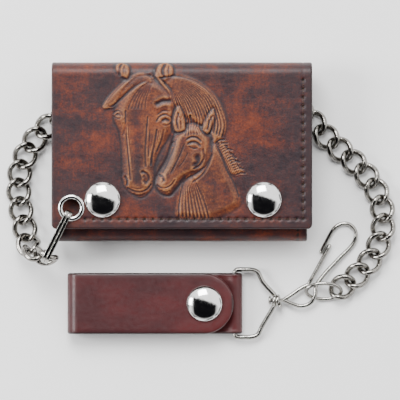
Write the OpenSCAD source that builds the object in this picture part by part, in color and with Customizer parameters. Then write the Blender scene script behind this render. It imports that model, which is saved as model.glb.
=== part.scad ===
// Trifold chain wallet lying on a table, face up, with its chain, snap hook and belt strap.
// All sizes in mm. X runs to the right, Y towards the wallet's top fold, Z up from the table.

/* [Wallet] */
// Width of the front flap
flap_w = 108; // [90:1:120]
// Width of the back and inner panels
panel_w = 104; // [86:1:116]
// Height of the closed wallet, fold to fold
wallet_h = 74.4; // [66:0.2:90]
// Height of the strip that shows below the flap
strip_h = 5.2; // [3:0.1:8]
// Height of the inner panel, from the bottom fold up
inner_h = 39; // [36:1:42]
// Thickness of the outer leather
leather_t = 1.6; // [1.2:0.1:2.2]
// Thickness of the flap's lining
lining_t = 0.6; // [0.4:0.1:1]
// Depth of the folds at the top and bottom
fold_d = 5.4; // [4:0.1:7]
// Clear height inside the bill pocket
bill_gap = 4.4; // [4.2:0.1:7]
// Thickness of the bill pocket's divider
divider_t = 0.8; // [0.6:0.1:1.2]
// Thickness of one card pocket
pocket_t = 0.6; // [0.4:0.1:0.9]
// Number of stepped card pockets
pocket_n = 3; // [2:1:4]
// Step from one card pocket's edge to the next
pocket_step = 9; // [7:1:12]
// Thickness of the window frame
frame_t = 0.7; // [0.5:0.1:1]
// Thickness of the clear window
window_t = 0.3; // [0.2:0.1:0.5]
// Width of the clear window's opening
window_w = 50; // [40:1:52]
// Height of the clear window's opening
window_h = 20; // [14:1:22]

/* [Snaps] */
// Diameter of a snap cap
cap_d = 15; // [12:0.5:17]
// Height of a snap cap's dome
cap_h = 3; // [2:0.1:4]
// Distance of the left snap from the flap's left edge
snap_left_in = 21.2; // [20:0.2:36]
// Distance of the right snap from the flap's right edge
snap_right_in = 20; // [12:0.2:36]
// Height of the snaps above the flap's bottom edge
snap_up = 12.1; // [9:0.1:16]
// Open height between two snapped leaves
snap_gap = 3.3; // [3:0.1:4.5]
// Diameter of a snap's knob
knob_d = 5.8; // [4.5:0.1:7]
// Diameter of the rivet shanks
shank_d = 3.4; // [2.8:0.1:4]

/* [Grommet and ring] */
// Diameter of the grommet's hole
grommet_hole_d = 7; // [6.8:0.1:8]
// Outer diameter of the grommet
grommet_d = 11.2; // [10:0.1:13]
// Distance of the grommet from the flap's left edge
grommet_in = 8.2; // [7:0.1:14]
// Distance of the grommet from the flap's bottom edge
grommet_up = 8.8; // [7:0.1:14]
// Length of the flat ring
ring_l = 24; // [22:0.5:30]
// Width of the ring's flat wire
ring_w = 3; // [2:0.1:3.4]
// Thickness of the ring's flat wire
ring_t = 1.5; // [1:0.1:1.6]

/* [Chain] */
// Diameter of the chain's wire
chain_wire = 2.2; // [1.8:0.1:2.3]
// Width of a link
link_w = 10.8; // [10:0.1:11.4]
// Length of a link
link_l = 12.6; // [12.5:0.1:13.2]
// Distance from one link to the next
pitch = 7.8; // [7.6:0.05:7.9]
// Turn of each end of a link out of its own plane
link_twist = 40; // [36:1:48]

/* [Belt strap] */
// Width of the strap
strap_w = 25.4; // [19:0.2:32]
// Length of the folded strap
strap_l = 73; // [62:0.5:100]
// Thickness of the strap's leather
strap_t = 2; // [1.6:0.1:2.6]
// Distance of the strap's snap from its right fold
strap_snap_in = 15.8; // [15:0.1:24]
// Diameter of the wire of the D-loop
loop_wire = 2; // [1.6:0.1:2.4]
// Length of the D-loop's inside bar
loop_bar = 28.2; // [28:0.1:36]

/* [Snap hook] */
// Diameter of the hook's wire
hook_wire = 1.7; // [1.4:0.1:2]

/* [Hidden] */
// Clearances between pieces
ease = 0.3;
fit = 0.05;
rivet_fit = 0.03;
// Offset that puts the middle of the whole object over the origin
mid_x = 7.8;
mid_y = -20.2;
// Colours
antique = "#7a3a22";
burgundy = "#5a2a2c";
nickel = "#c9ccd0";
thread_colour = "#2b1a16";
lining_colour = "#3a2420";
clear_colour = "#cfd8dc";

// Link centre line
link_a = (link_l - chain_wire) / 2;
link_b = (link_w - chain_wire) / 2;
link_steps = 20;
wire_sides = 6;
function link_point(t) =
    let (x = link_a * cos(t), y = link_b * sin(t), turn = link_twist * x / link_a)
    [x, y * cos(turn), y * sin(turn)];
function link_up(t) =
    let (turn = link_twist * cos(t))
    [0, -sin(turn), cos(turn)];
link_rise = max([for (i = [0:35]) link_point(i * 10)[2]]);
link_z = link_rise + chain_wire / 2;

// Route of the chain on the table: a start, a heading, then runs of [links, turn at each]
chain_start = [-65.6, -32];
chain_heading = 104;
chain_runs = [
    [1, -4], [1, -6], [3, -14], [1, -12],
    [3, -16], [8, 3], [4, -17],
    [1, 7], [1, 4], [1, -2], [1, -8], [1, -13], [3, -16], [1, -14], [1, -11], [1, -10],
];
link_turns = [for (r = chain_runs) for (i = [1:r[0]]) r[1]];
link_count = len(link_turns) + 1;
function heading(i) = i == 0 ? chain_heading : heading(i - 1) + link_turns[i - 1];
function along(a, d) = [d * cos(a), d * sin(a)];
function link_at(i) = i == 0 ? chain_start
    : link_at(i - 1) + along(heading(i - 1), pitch / 2) + along(heading(i), pitch / 2);

// Levels of the wallet's layers
back_z = 2 * link_z + ease;
pocket_z = back_z + leather_t;
divider_z = pocket_z + bill_gap;
cards_z = divider_z + divider_t;
frame_z = cards_z + pocket_n * pocket_t + ease;
window_z = frame_z + frame_t;
inner_z = window_z + window_t;
inner_top = inner_z + leather_t;
lining_z = inner_top + snap_gap;
flap_z = lining_z + lining_t;
flap_top = flap_z + leather_t;
top_y = wallet_h / 2;
low_y = -wallet_h / 2;
fold_y = top_y - fold_d;
low_fold_y = low_y + fold_d;
flap_low = low_y + strip_h;
snap_y = flap_low + snap_up;
snap_places = [-flap_w / 2 + snap_left_in, flap_w / 2 - snap_right_in];
grommet_at = [-flap_w / 2 + grommet_in, flap_low + grommet_up];
lay_at = [-45.8, -23.2];

// Ring, a flat oval standing on edge
ring_turn = 243.4;
ring_low = inner_top + ease;
ring_high = flap_top + 1.2 + ring_t;
ring_h = ring_high - ring_low;
ring_corner = 2.3;
ring_in = sqrt(pow(grommet_hole_d / 2, 2) - pow(ring_w / 2, 2)) - ring_t - 3 * fit;
ring_end = grommet_at + along(ring_turn, ring_in + ring_l - ring_h / 2);

// Snap parts
rim_t = 0.5;
stud_base_r = 5.5;
socket_r = 6;
socket_wall = 1.2;
socket_up = 0.9;
post_r = 4.4;
post_over = 2;
knob_r = knob_d / 2;
shank_r = shank_d / 2;
knob_ease = 0.1;

// Insets of the inner sheets from the panel's edges
lining_inset = 1;
divider_side = 1.5;
divider_inset = 0.5;
wall_t = 1.5;
pocket_side = 3;
pocket_top = 8;
frame_side = 2;
frame_inset = 0.5;
window_up = 4;
window_lap = 2;
flap_corner = 2;

// Grommet and its washer
flange_t = 0.5;
roll_t = 0.4;
roll_in = 0.6;
grommet_lip = 0.9;
washer_t = 0.5;

// Stitches
stitch_l = 2.2;
stitch_w = 0.6;
stitch_t = 0.3;
stitch_pitch = 3.6;
stitch_in = 4;
stitch_up = 4.2;

// Height of a cut that goes right through
through = 100;

// Belt strap
strap_y = -63.15;
strap_right = 25.2;
strap_left = strap_right - strap_l;
strap_z = rim_t + fit;
bar_r = loop_wire / 2;
turn_r = bar_r + 2 * fit + strap_t / 2;
bar_x = strap_right - turn_r - strap_t / 2;
leaf_mid = strap_z + strap_t / 2;
bar_z = leaf_mid + turn_r;
tail_mid = leaf_mid + strap_t + fit;
tail_top = tail_mid + strap_t / 2;
tail_slope = 20;
front_z = tail_top + snap_gap;
front_top = front_z + strap_t;
strap_snap_x = strap_right - strap_snap_in;
fold_r = (front_top - strap_z) / 2;
fold_x = strap_left + fold_r;
tail_end = strap_snap_x - 8.4;
tongue_end = strap_snap_x + 12.1;

// Swivel and hook
stem_z = 2.8;
stem_y = -61.8;
neck_x = 37.4;
stem_end = 42.4;
coil_l = 4.2;
stem_r = hook_wire / 2;
pin_head_t = 1;
pin_head_over = 1;
pin_gap = 0.4;
coil_wall = 1.7;
bar_end = 1.3;
loop_tilt = asin((bar_z - stem_z) / (neck_x - bar_x));
gate_base = [53.2, -54.4, 2];
gate_tip = [61.6, -39.2, 1];

// Shared helpers
module home() translate([-mid_x, -mid_y, 0]) children();

// The chain, hook and strap are laid out from the grommet and move with it
module laid() home()
    translate([grommet_at[0] - lay_at[0], grommet_at[1] - lay_at[1], 0]) children();

module plate(w, low, high, t) translate([-w / 2, low, 0]) cube([w, high - low, t]);

module rounded_sheet(w, low, high, r, t) {
    linear_extrude(t) {
        translate([-w / 2, low + r]) square([w, high - low - r]);
        translate([-w / 2 + r, low]) square([w - 2 * r, r + 1]);
        for (s = [-1, 1]) translate([s * (w / 2 - r), low + r]) circle(r, $fn = 32);
    }
}

function unit(v) = v / norm(v);

// Wire swept along a closed ring of points, with an up direction at each
module closed_wire(points, ups, r, sides) {
    n = len(points);
    rings = [for (i = [0:n - 1])
        let (along_wire = unit(points[(i + 1) % n] - points[(i + n - 1) % n]),
             side = unit(cross(along_wire, ups[i])),
             up = cross(side, along_wire))
        for (k = [0:sides - 1])
            points[i] + r * (side * cos(360 * k / sides) + up * sin(360 * k / sides))];
    faces = [for (i = [0:n - 1]) for (k = [0:sides - 1])
        let (j = (i + 1) % n, m = (k + 1) % sides)
        [i * sides + k, i * sides + m, j * sides + m, j * sides + k]];
    polyhedron(rings, [for (f = faces) for (h = [[f[0], f[1], f[2]], [f[0], f[2], f[3]]]) h]);
}

// Wire swept along an open row of points, closed flat at both ends
module open_wire(points, r, sides, up = [0, 0, 1]) {
    n = len(points);
    rings = [for (i = [0:n - 1])
        let (along_wire = unit(points[min(i + 1, n - 1)] - points[max(i - 1, 0)]),
             side = unit(cross(along_wire, up)),
             over = cross(side, along_wire))
        for (k = [0:sides - 1])
            points[i] + r * (side * cos(360 * k / sides) + over * sin(360 * k / sides))];
    walls = [for (i = [0:n - 2]) for (k = [0:sides - 1])
        let (m = (k + 1) % sides)
        for (h = [[i * sides + k, i * sides + m, (i + 1) * sides + m],
                  [i * sides + k, (i + 1) * sides + m, (i + 1) * sides + k]]) h];
    near = [for (k = [sides - 1:-1:0]) k];
    far = [for (k = [0:sides - 1]) (n - 1) * sides + k];
    polyhedron(rings, concat(walls, [near], [far]));
}

// Smooth curve through hand-placed points, a few steps between each pair
function smooth_at(p, i, t) =
    let (n = len(p), a = p[max(i - 1, 0)], b = p[i], c = p[min(i + 1, n - 1)], d = p[min(i + 2, n - 1)])
    0.5 * (2 * b + (c - a) * t + (2 * a - 5 * b + 4 * c - d) * t * t
        + (3 * b - 3 * c + d - a) * t * t * t);
function smooth(p, steps) = concat(
    [for (i = [0:len(p) - 2]) for (k = [0:steps - 1]) smooth_at(p, i, k / steps)],
    [p[len(p) - 1]]);

module link() {
    color(nickel)
    closed_wire(
        [for (i = [0:link_steps - 1]) link_point(360 * i / link_steps)],
        [for (i = [0:link_steps - 1]) link_up(360 * i / link_steps)],
        chain_wire / 2, wire_sides);
}

// Link number i of the chain on the table, counted from 0
module chain_link(i) {
    laid() translate([link_at(i)[0], link_at(i)[1], link_z]) rotate(heading(i)) link();
}

module chain_links(first, last) {
    for (i = [first:last]) chain_link(i);
}

// Snaps: each module stands on its own leaf's surface
module snap_cap(top, low) {
    dome_r = (pow(cap_d / 2, 2) + pow(cap_h - rim_t, 2)) / (2 * (cap_h - rim_t));
    color(nickel) {
        intersection() {
            translate([0, 0, top]) cylinder(h = cap_h + 1, r = cap_d / 2, $fn = 64);
            translate([0, 0, top + cap_h - dome_r]) sphere(dome_r, $fn = 96);
        }
        translate([0, 0, low]) cylinder(h = top - low + rim_t, r = shank_r, $fn = 32);
    }
}

module snap_socket(under) {
    color(nickel)
    difference() {
        union() {
            translate([0, 0, under - rim_t]) cylinder(h = rim_t, r = socket_r, $fn = 64);
            translate([0, 0, under - snap_gap + socket_up])
                cylinder(h = snap_gap - socket_up, r = knob_r + knob_ease + socket_wall, $fn = 48);
        }
        translate([0, 0, under - snap_gap]) cylinder(h = snap_gap - rim_t, r = knob_r + knob_ease, $fn = 48);
        translate([0, 0, under - rim_t - 1]) cylinder(h = rim_t + 2, r = shank_r + rivet_fit, $fn = 32);
    }
}

module snap_stud(on) {
    color(nickel)
    difference() {
        union() {
            translate([0, 0, on]) cylinder(h = rim_t, r = stud_base_r, $fn = 64);
            translate([0, 0, on]) cylinder(h = snap_gap - rim_t - fit, r = knob_r, $fn = 48);
        }
        translate([0, 0, on - 1]) cylinder(h = snap_gap + 1, r = shank_r + rivet_fit, $fn = 32);
    }
}

module snap_post(under, top) {
    color(nickel) {
        translate([0, 0, under - rim_t]) cylinder(h = rim_t, r = post_r, $fn = 48);
        translate([0, 0, under - rim_t]) cylinder(h = top - under + rim_t, r = shank_r, $fn = 32);
    }
}

module at_snaps() for (x = snap_places) translate([x, snap_y, 0]) children();
module shank_hole() cylinder(h = through, r = shank_r + rivet_fit, center = true, $fn = 32);

// Outer leather and its two folds
module back_panel() {
    color(antique) home() translate([0, 0, back_z]) plate(panel_w, low_fold_y, fold_y, leather_t);
}

// Half of a squarish bend, depth d and outer height h, of leather t thick
function bend(d, h) = [for (a = [-90:6:90])
    [d * pow(max(cos(a), 0), 0.75), h / 2 * sign(a) * pow(abs(sin(a)), 0.75)]];
function reversed(p) = [for (i = [len(p) - 1:-1:0]) p[i]];
module fold(w, side, start, low, high) {
    h = high - low;
    translate([0, start, (low + high) / 2]) rotate([90, 0, 90]) linear_extrude(w, center = true)
        polygon([for (p = concat(bend(fold_d, h), reversed(bend(fold_d - leather_t, h - 2 * leather_t))))
            [side * p[0], p[1]]]);
}

module top_fold() color(antique) home() fold(flap_w, 1, fold_y, back_z, flap_top);
module bottom_fold() color(antique) home() fold(panel_w, -1, low_fold_y, back_z, inner_top);

module front_flap() {
    color(antique) home() difference() {
        translate([0, 0, flap_z]) rounded_sheet(flap_w, flap_low, fold_y, flap_corner, leather_t);
        at_snaps() shank_hole();
        translate([grommet_at[0], grommet_at[1], 0]) grommet_hole();
    }
}

module flap_lining() {
    color(lining_colour) home() difference() {
        translate([0, 0, lining_z])
            plate(flap_w - 2 * lining_inset, flap_low + lining_inset, fold_y - lining_inset, lining_t);
        at_snaps() shank_hole();
        translate([grommet_at[0], grommet_at[1], 0]) grommet_hole();
    }
}

module inner_panel() {
    color(antique) home() difference() {
        translate([0, 0, inner_z]) plate(panel_w, low_fold_y, low_y + inner_h, leather_t);
        at_snaps() shank_hole();
    }
}

// Window frame and window under the inner panel
window_mid = low_fold_y + window_up + window_h / 2;
module window_frame() {
    color(lining_colour) home() difference() {
        translate([0, 0, frame_z])
            plate(panel_w - 2 * frame_side,
                low_fold_y + frame_inset, low_y + inner_h - 2 * frame_inset, frame_t);
        translate([0, 0, frame_z - 1])
            plate(window_w, window_mid - window_h / 2, window_mid + window_h / 2, frame_t + 2);
        at_snaps() cylinder(h = through, r = post_r + ease, center = true, $fn = 48);
    }
}
module clear_window() {
    color(clear_colour, 0.4) home() translate([0, 0, window_z])
        plate(window_w + 2 * window_lap,
            window_mid - window_h / 2 - window_lap, window_mid + window_h / 2 + window_lap, window_t);
}

// Divider of the bill pocket, sewn down along three sides and open at the left
divider_w = panel_w - 2 * divider_side;
module bill_divider() {
    color(lining_colour) home() {
        translate([0, 0, divider_z])
            plate(divider_w, low_fold_y + divider_inset, fold_y - divider_inset, divider_t);
        translate([divider_w / 2 - wall_t, low_fold_y + divider_inset, pocket_z])
            cube([wall_t, fold_y - low_fold_y - 2 * divider_inset, bill_gap]);
        for (y = [low_fold_y + divider_inset, fold_y - divider_inset - wall_t])
            translate([-divider_w / 2, y, pocket_z]) cube([divider_w, wall_t, bill_gap]);
    }
}

module card_pockets() {
    color(lining_colour) home() for (k = [0:pocket_n - 1])
        translate([0, 0, cards_z + k * pocket_t])
            plate(panel_w - 2 * pocket_side, low_fold_y + 2 * divider_inset,
                fold_y - pocket_top - k * pocket_step, pocket_t);
}

// Stitches that lie on the leather
module stitch_row(from, to, z) {
    n = floor(norm(to - from) / stitch_pitch);
    turn = atan2(to[1] - from[1], to[0] - from[0]);
    for (k = [0:n - 1]) translate([from[0], from[1], z]) rotate(turn)
        translate([k * stitch_pitch, -stitch_w / 2, 0]) cube([stitch_l, stitch_w, stitch_t]);
}
module flap_thread() {
    color(thread_colour) home() {
        stitch_row([grommet_at[0] + grommet_d / 2 + ease, flap_low + stitch_up],
            [flap_w / 2 - stitch_in - 2, flap_low + stitch_up], flap_top);
        stitch_row([flap_w / 2 - stitch_in, flap_low + stitch_up + 0.4],
            [flap_w / 2 - stitch_in, fold_y - 1], flap_top);
    }
}
module pocket_thread() {
    color(thread_colour) home() {
        stitch_row([-panel_w / 2 + stitch_in, fold_y - 3],
            [panel_w / 2 - stitch_in, fold_y - 3], back_z - stitch_t);
        stitch_row([panel_w / 2 - stitch_in, low_fold_y + 3],
            [panel_w / 2 - stitch_in, fold_y - 5], back_z - stitch_t);
    }
}

// Grommet, rolled over its washer
grommet_r = grommet_hole_d / 2;
tube_r = grommet_r + 0.5;
module grommet_hole() cylinder(h = through, r = tube_r + rivet_fit, center = true, $fn = 48);
module grommet() {
    color(nickel) home() translate([grommet_at[0], grommet_at[1], 0]) difference() {
        union() {
            translate([0, 0, flap_top]) cylinder(h = flange_t, r = grommet_d / 2, $fn = 64);
            translate([0, 0, flap_top + flange_t])
                cylinder(h = roll_t, r = grommet_d / 2 - roll_in, $fn = 64);
            translate([0, 0, lining_z - 2 * washer_t])
                cylinder(h = flap_top - lining_z + 2 * washer_t + flange_t, r = tube_r, $fn = 48);
            translate([0, 0, lining_z - 2 * washer_t])
                cylinder(h = washer_t, r = tube_r + grommet_lip, $fn = 48);
        }
        cylinder(h = through, r = grommet_r, center = true, $fn = 48);
    }
}
module grommet_washer() {
    color(nickel) home() translate([grommet_at[0], grommet_at[1], lining_z - washer_t]) difference() {
        cylinder(h = washer_t, r = grommet_d / 2, $fn = 64);
        cylinder(h = through, r = tube_r + rivet_fit, center = true, $fn = 48);
    }
}

module snap_caps() home() at_snaps() snap_cap(flap_top, lining_z - rim_t);
module snap_sockets() home() at_snaps() snap_socket(lining_z);
module snap_studs() home() at_snaps() snap_stud(inner_top);
module snap_posts() home() at_snaps() snap_post(inner_z, inner_top + post_over);

// Flat ring, an oval on edge: one end stands in the grommet, the other beyond the wallet
module oval(l, h, corner) {
    translate([corner, 0]) square([l - h / 2 - corner, h]);
    translate([0, corner]) square([l - h / 2, h - 2 * corner]);
    for (y = [corner, h - corner]) translate([corner, y]) circle(corner, $fn = 32);
    translate([l - h / 2, h / 2]) circle(h / 2, $fn = 48);
}
module split_ring() {
    color(nickel) home() translate([grommet_at[0], grommet_at[1], ring_low]) rotate(ring_turn)
        translate([ring_in, 0, 0]) rotate([90, 0, 0]) linear_extrude(ring_w, center = true)
        difference() {
            oval(ring_l, ring_h, ring_corner);
            translate([ring_t, ring_t]) oval(ring_l - 2 * ring_t, ring_h - 2 * ring_t, ring_corner - ring_t);
        }
}

// Links that hang from the ring down to the table: joints between them, and each one's roll
hang_end = link_at(0) - along(heading(0), pitch / 2);
hang = [
    [-54, -43.7, 18.7],
    [-59.9, -43.1, 13.6],
    [-63.4, -41, 7.9],
    [hang_end[0], hang_end[1], link_z],
];
hang_roll = [-56, 63, -1];
module hung_link(a, b, roll) {
    d = b - a;
    translate((a + b) / 2) rotate(atan2(d[1], d[0])) rotate([0, atan2(-d[2], norm([d[0], d[1]])), 0])
        rotate([roll, 0, 0]) link();
}
module ring_links() laid() for (i = [0:2]) hung_link(hang[i], hang[i + 1], hang_roll[i]);

// Loop that joins the last link to the snap hook
end_loop_at = [59.2, -58.1, 2.9];
end_loop_tilt = 32;
end_loop_a = 7.3;
end_loop_b = 3.9;
end_loop_wire_r = 0.8;
module end_loop() {
    color(nickel) laid() translate(end_loop_at) rotate([end_loop_tilt, 0, 0])
        closed_wire(
            [for (t = [0:15:345]) [end_loop_a * cos(t), end_loop_b * sin(t), 0]],
            [for (t = [0:15:345]) [0, 0, 1]], end_loop_wire_r, 8);
}

// Snap hook of bent wire: an eye at the stem, a long arm, a round head and a lip
hook_path = [
    [43, stem_y, stem_z], [45.6, -63.2, 2.8], [49.6, -64.3, 2.9], [53.6, -63, 3.1],
    [55.6, -59.6, 3.2], [55.9, -56, 2.9], [59.4, -51, 2.2], [65.4, -44.6, 1.4], [71.2, -38.6, 0.9],
    [72.6, -34, 0.9], [70.6, -30.6, 0.9], [67, -29.9, 0.9], [63.6, -31.8, 0.9], [61, -36, 0.9],
    [58, -41.8, 0.9],
];
hook_root = [[43, stem_y, stem_z], [46, -59.4, 2.7], [49.8, -56.8, 2.4], [52.7, -55.3, 2.05]];
module snap_hook() {
    color(nickel) laid() {
        open_wire(smooth(hook_path, 4), stem_r, 8);
        open_wire(smooth(hook_root, 4), stem_r, 8);
    }
}
module hook_gate() {
    d = gate_tip - gate_base;
    color(nickel) laid() translate(gate_base)
        rotate([0, acos(d[2] / norm(d)), atan2(d[1], d[0])]) cylinder(h = norm(d), r = stem_r, $fn = 32);
}

// Stem of the hook, with the head that keeps the coil on it
module swivel_stem() {
    color(nickel) laid() translate([0, stem_y, stem_z]) rotate([0, 90, 0]) {
        translate([0, 0, neck_x - pin_gap]) cylinder(h = stem_end - neck_x + pin_gap, r = stem_r, $fn = 32);
        translate([0, 0, neck_x - pin_gap - pin_head_t])
            cylinder(h = pin_head_t, r = stem_r + pin_head_over, $fn = 32);
    }
}

// D-loop: bar in the strap's fold, two sides, and a coiled neck on the stem
coil_r = stem_r + 2 * fit;
head_room = 4;
loop_half = loop_bar / 2;
loop_neck = neck_x - bar_x;
neck_off = stem_y - strap_y;
loop_side = [
    [0, loop_half - 1.35], [0.3, loop_half - 0.5], [1.2, loop_half - 0.05],
    [6.6, loop_half], [9.6, loop_half - 1.2], [11.7, loop_half - 5.2],
];
module loop_arm(s) {
    points = concat([for (p = loop_side) [p[0], s * p[1], 0]],
        [[loop_neck + 1.4, neck_off + s * 1.9, 0]]);
    open_wire(smooth(points, 3), bar_r, 8);
}
module d_loop() {
    color(nickel) laid() difference() {
        union() {
            translate([bar_x, strap_y, bar_z]) rotate([0, loop_tilt, 0]) {
                rotate([90, 0, 0]) cylinder(h = loop_bar - 2 * bar_end, r = bar_r, center = true, $fn = 48);
                loop_arm(1);
                loop_arm(-1);
            }
            translate([neck_x, stem_y, stem_z]) rotate([0, 90, 0])
                cylinder(h = coil_l, r = stem_r + coil_wall, $fn = 48);
        }
        translate([neck_x - head_room, stem_y, stem_z]) rotate([0, 90, 0])
            cylinder(h = coil_l + 2 * head_room, r = coil_r, $fn = 32);
        translate([neck_x - head_room, stem_y, stem_z]) rotate([0, 90, 0])
            cylinder(h = head_room - 2 * fit, r = stem_r + pin_head_over + 4 * fit, $fn = 32);
    }
}

// Belt strap: one strip folded round the loop's bar at the right and back on itself at the left
function turned(a, r) = [r * cos(a), r * sin(a)];
tail_drop_x = bar_x - turn_r * sin(tail_slope)
    - (bar_z + turn_r * cos(tail_slope) - tail_mid) / tan(tail_slope);
strip = concat(
    [[fold_x, leaf_mid]],
    [for (a = [-90:10:90 + tail_slope]) [bar_x, bar_z] + turned(a, turn_r)],
    [[tail_drop_x, tail_mid], [tail_end, tail_mid]]);
function strip_dir(i) = unit(strip[min(i + 1, len(strip) - 1)] - strip[max(i - 1, 0)]);
function strip_side(d) = [for (i = [0:len(strip) - 1])
    strip[i] + d * [-strip_dir(i)[1], strip_dir(i)[0]]];
module strap_back() {
    color(burgundy) laid() difference() {
        translate([0, strap_y, 0]) rotate([90, 0, 0]) linear_extrude(strap_w, center = true)
            polygon(concat(strip_side(-strap_t / 2), reversed(strip_side(strap_t / 2))));
        translate([strap_snap_x, strap_y, 0]) shank_hole();
    }
}
module strap_fold() {
    color(burgundy) laid() translate([fold_x, strap_y, strap_z + fold_r]) rotate([90, 0, 0])
        half_ring(fold_r, strap_t, strap_w);
}
module half_ring(r, t, w) {
    linear_extrude(w, center = true) difference() {
        circle(r, $fn = 64);
        circle(r - t, $fn = 64);
        translate([0, -2 * r]) square([2 * r, 4 * r]);
    }
}
module strap_front() {
    color(burgundy) laid() translate([0, 0, front_z]) difference() {
        linear_extrude(strap_t) {
            translate([fold_x, strap_y - strap_w / 2]) square([tongue_end - strap_w / 2 - fold_x, strap_w]);
            translate([tongue_end - strap_w / 2, strap_y]) circle(strap_w / 2, $fn = 96);
        }
        translate([strap_snap_x, strap_y, 0]) shank_hole();
    }
}
module at_strap_snap() laid() translate([strap_snap_x, strap_y, 0]) children();
module strap_cap() at_strap_snap() snap_cap(front_top, front_z - rim_t);
module strap_socket() at_strap_snap() snap_socket(front_z);
module strap_stud() at_strap_snap() snap_stud(tail_top);
module strap_post() at_strap_snap() snap_post(strap_z, tail_top + post_over);

back_panel();
top_fold();
bottom_fold();
front_flap();
flap_lining();
inner_panel();
window_frame();
clear_window();
bill_divider();
card_pockets();
flap_thread();
pocket_thread();
grommet();
grommet_washer();
snap_caps();
snap_sockets();
snap_studs();
snap_posts();
split_ring();
ring_links();
chain_link(0);  // link_01
chain_link(1);  // link_02
chain_link(2);  // link_03
chain_link(3);  // link_04
chain_link(4);  // link_05
chain_link(5);  // link_06
chain_link(6);  // link_07
chain_links(7, 10);  // hidden_links_1
chain_links(11, 13);  // hidden_links_2
chain_links(14, 17);  // hidden_links_3
chain_links(18, 20);  // hidden_links_4
chain_link(21);  // link_22
chain_link(22);  // link_23
chain_link(23);  // link_24
chain_link(24);  // link_25
chain_link(25);  // link_26
chain_link(26);  // link_27
chain_link(27);  // link_28
chain_link(28);  // link_29
chain_link(29);  // link_30
chain_link(30);  // link_31
chain_link(31);  // link_32
chain_link(32);  // link_33
end_loop();
snap_hook();
hook_gate();
swivel_stem();
d_loop();
strap_back();
strap_fold();
strap_front();
strap_cap();
strap_socket();
strap_stud();
strap_post();
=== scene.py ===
"""Embossed trifold wallet with its curb chain, snap hook, wire loop and belt strap, laid out on a table."""

import logging
import math
from dataclasses import dataclass, field
from enum import Enum
from typing import Callable, Sequence

import bpy
import numpy as np
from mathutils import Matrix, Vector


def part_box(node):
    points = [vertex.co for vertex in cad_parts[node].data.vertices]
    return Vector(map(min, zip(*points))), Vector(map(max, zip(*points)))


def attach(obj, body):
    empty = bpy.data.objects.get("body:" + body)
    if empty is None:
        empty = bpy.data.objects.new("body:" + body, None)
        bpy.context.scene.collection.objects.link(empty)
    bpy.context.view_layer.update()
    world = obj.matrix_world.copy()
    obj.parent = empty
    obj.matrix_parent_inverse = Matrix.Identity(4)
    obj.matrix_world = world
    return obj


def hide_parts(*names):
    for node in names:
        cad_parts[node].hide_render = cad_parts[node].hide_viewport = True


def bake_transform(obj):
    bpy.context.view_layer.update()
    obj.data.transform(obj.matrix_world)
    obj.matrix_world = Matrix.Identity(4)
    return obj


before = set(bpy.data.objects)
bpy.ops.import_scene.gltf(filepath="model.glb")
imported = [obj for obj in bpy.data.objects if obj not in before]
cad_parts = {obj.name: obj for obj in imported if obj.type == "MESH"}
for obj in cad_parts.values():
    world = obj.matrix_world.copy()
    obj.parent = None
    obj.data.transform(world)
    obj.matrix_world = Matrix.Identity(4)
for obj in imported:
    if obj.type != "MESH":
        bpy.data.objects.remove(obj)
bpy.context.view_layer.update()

logging.basicConfig(level=logging.INFO, format="%(message)s")
log = logging.getLogger("wallet")

MM = 0.001
Array = np.ndarray
Object = bpy.types.Object
Material = bpy.types.Material

# The wallet's middle in the frame, from the flap: the flap's top edge lies 31.8 mm above it.
_flap_low, _flap_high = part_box("front_flap")
MID_X = (_flap_low.x + _flap_high.x) / 2 / MM
MID_Y = _flap_high.y / MM - 31.8


def linear(code: str) -> tuple[float, float, float, float]:
    """Turns an sRGB hex colour into the linear colour that shaders use.

    Args:
        code: six hex digits, with or without a leading #.

    Returns:
        Linear red, green, blue and an alpha of 1.
    """
    code = code.lstrip("#")
    values = [int(code[i : i + 2], 16) / 255 for i in (0, 2, 4)]
    r, g, b = [v / 12.92 if v <= 0.04045 else ((v + 0.055) / 1.055) ** 2.4 for v in values]
    return (r, g, b, 1.0)


def level(node: str, top: bool) -> float:
    """Height of a CAD node's top or bottom above the table, in mm."""
    low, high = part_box(node)
    return (high.z if top else low.z) / MM


# ---------------------------------------------------------------------------
# Mesh tools: every shape is worked out in mm about the wallet's middle.


def placed(points: Array) -> Array:
    """Moves points from mm about the wallet's middle to metres in the frame."""
    return (np.asarray(points, float) + np.array([MID_X, MID_Y, 0.0])) * MM


def make_object(name: str, points: Array, faces: Sequence[Array], smooth: bool = True) -> Object:
    """Makes one mesh object from points and sets of faces.

    Args:
        name: the piece's name.
        points: (n, 3) points in mm about the wallet's middle.
        faces: arrays of vertex numbers, each (k, 3) or (k, 4).
        smooth: whether the faces are shaded smooth.

    Returns:
        The new object, at the origin, with its place in its mesh.
    """
    mesh = bpy.data.meshes.new(name)
    mesh.from_pydata(placed(points).tolist(), [], [f for part in faces for f in np.asarray(part).tolist()])
    mesh.update()
    if smooth:
        mesh.polygons.foreach_set("use_smooth", np.ones(len(mesh.polygons), bool))
    obj = bpy.data.objects.new(name, mesh)
    bpy.context.scene.collection.objects.link(obj)
    return obj


def give_values(obj: Object, name: str, values: Array) -> None:
    """Stores one number for each vertex, for a material to read."""
    attribute = obj.data.attributes.new(name, "FLOAT", "POINT")
    attribute.data.foreach_set("value", np.asarray(values, np.float32).ravel())


def grid_faces(rows: int, cols: int, close_rows: bool = False, close_cols: bool = False) -> Array:
    """Quads of a grid of rows by cols vertices, counted row by row, closed round either way if asked."""
    i = np.arange(rows if close_rows else rows - 1)[:, None]
    j = np.arange(cols if close_cols else cols - 1)[None, :]
    a, b = (i + 1) % rows, (j + 1) % cols
    return np.stack([i * cols + j, i * cols + b, a * cols + b, a * cols + j], -1).reshape(-1, 4)


def unit(v: Array) -> Array:
    """Scales each row of v to length 1."""
    return v / np.maximum(np.linalg.norm(v, axis=-1, keepdims=True), 1e-12)


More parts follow.
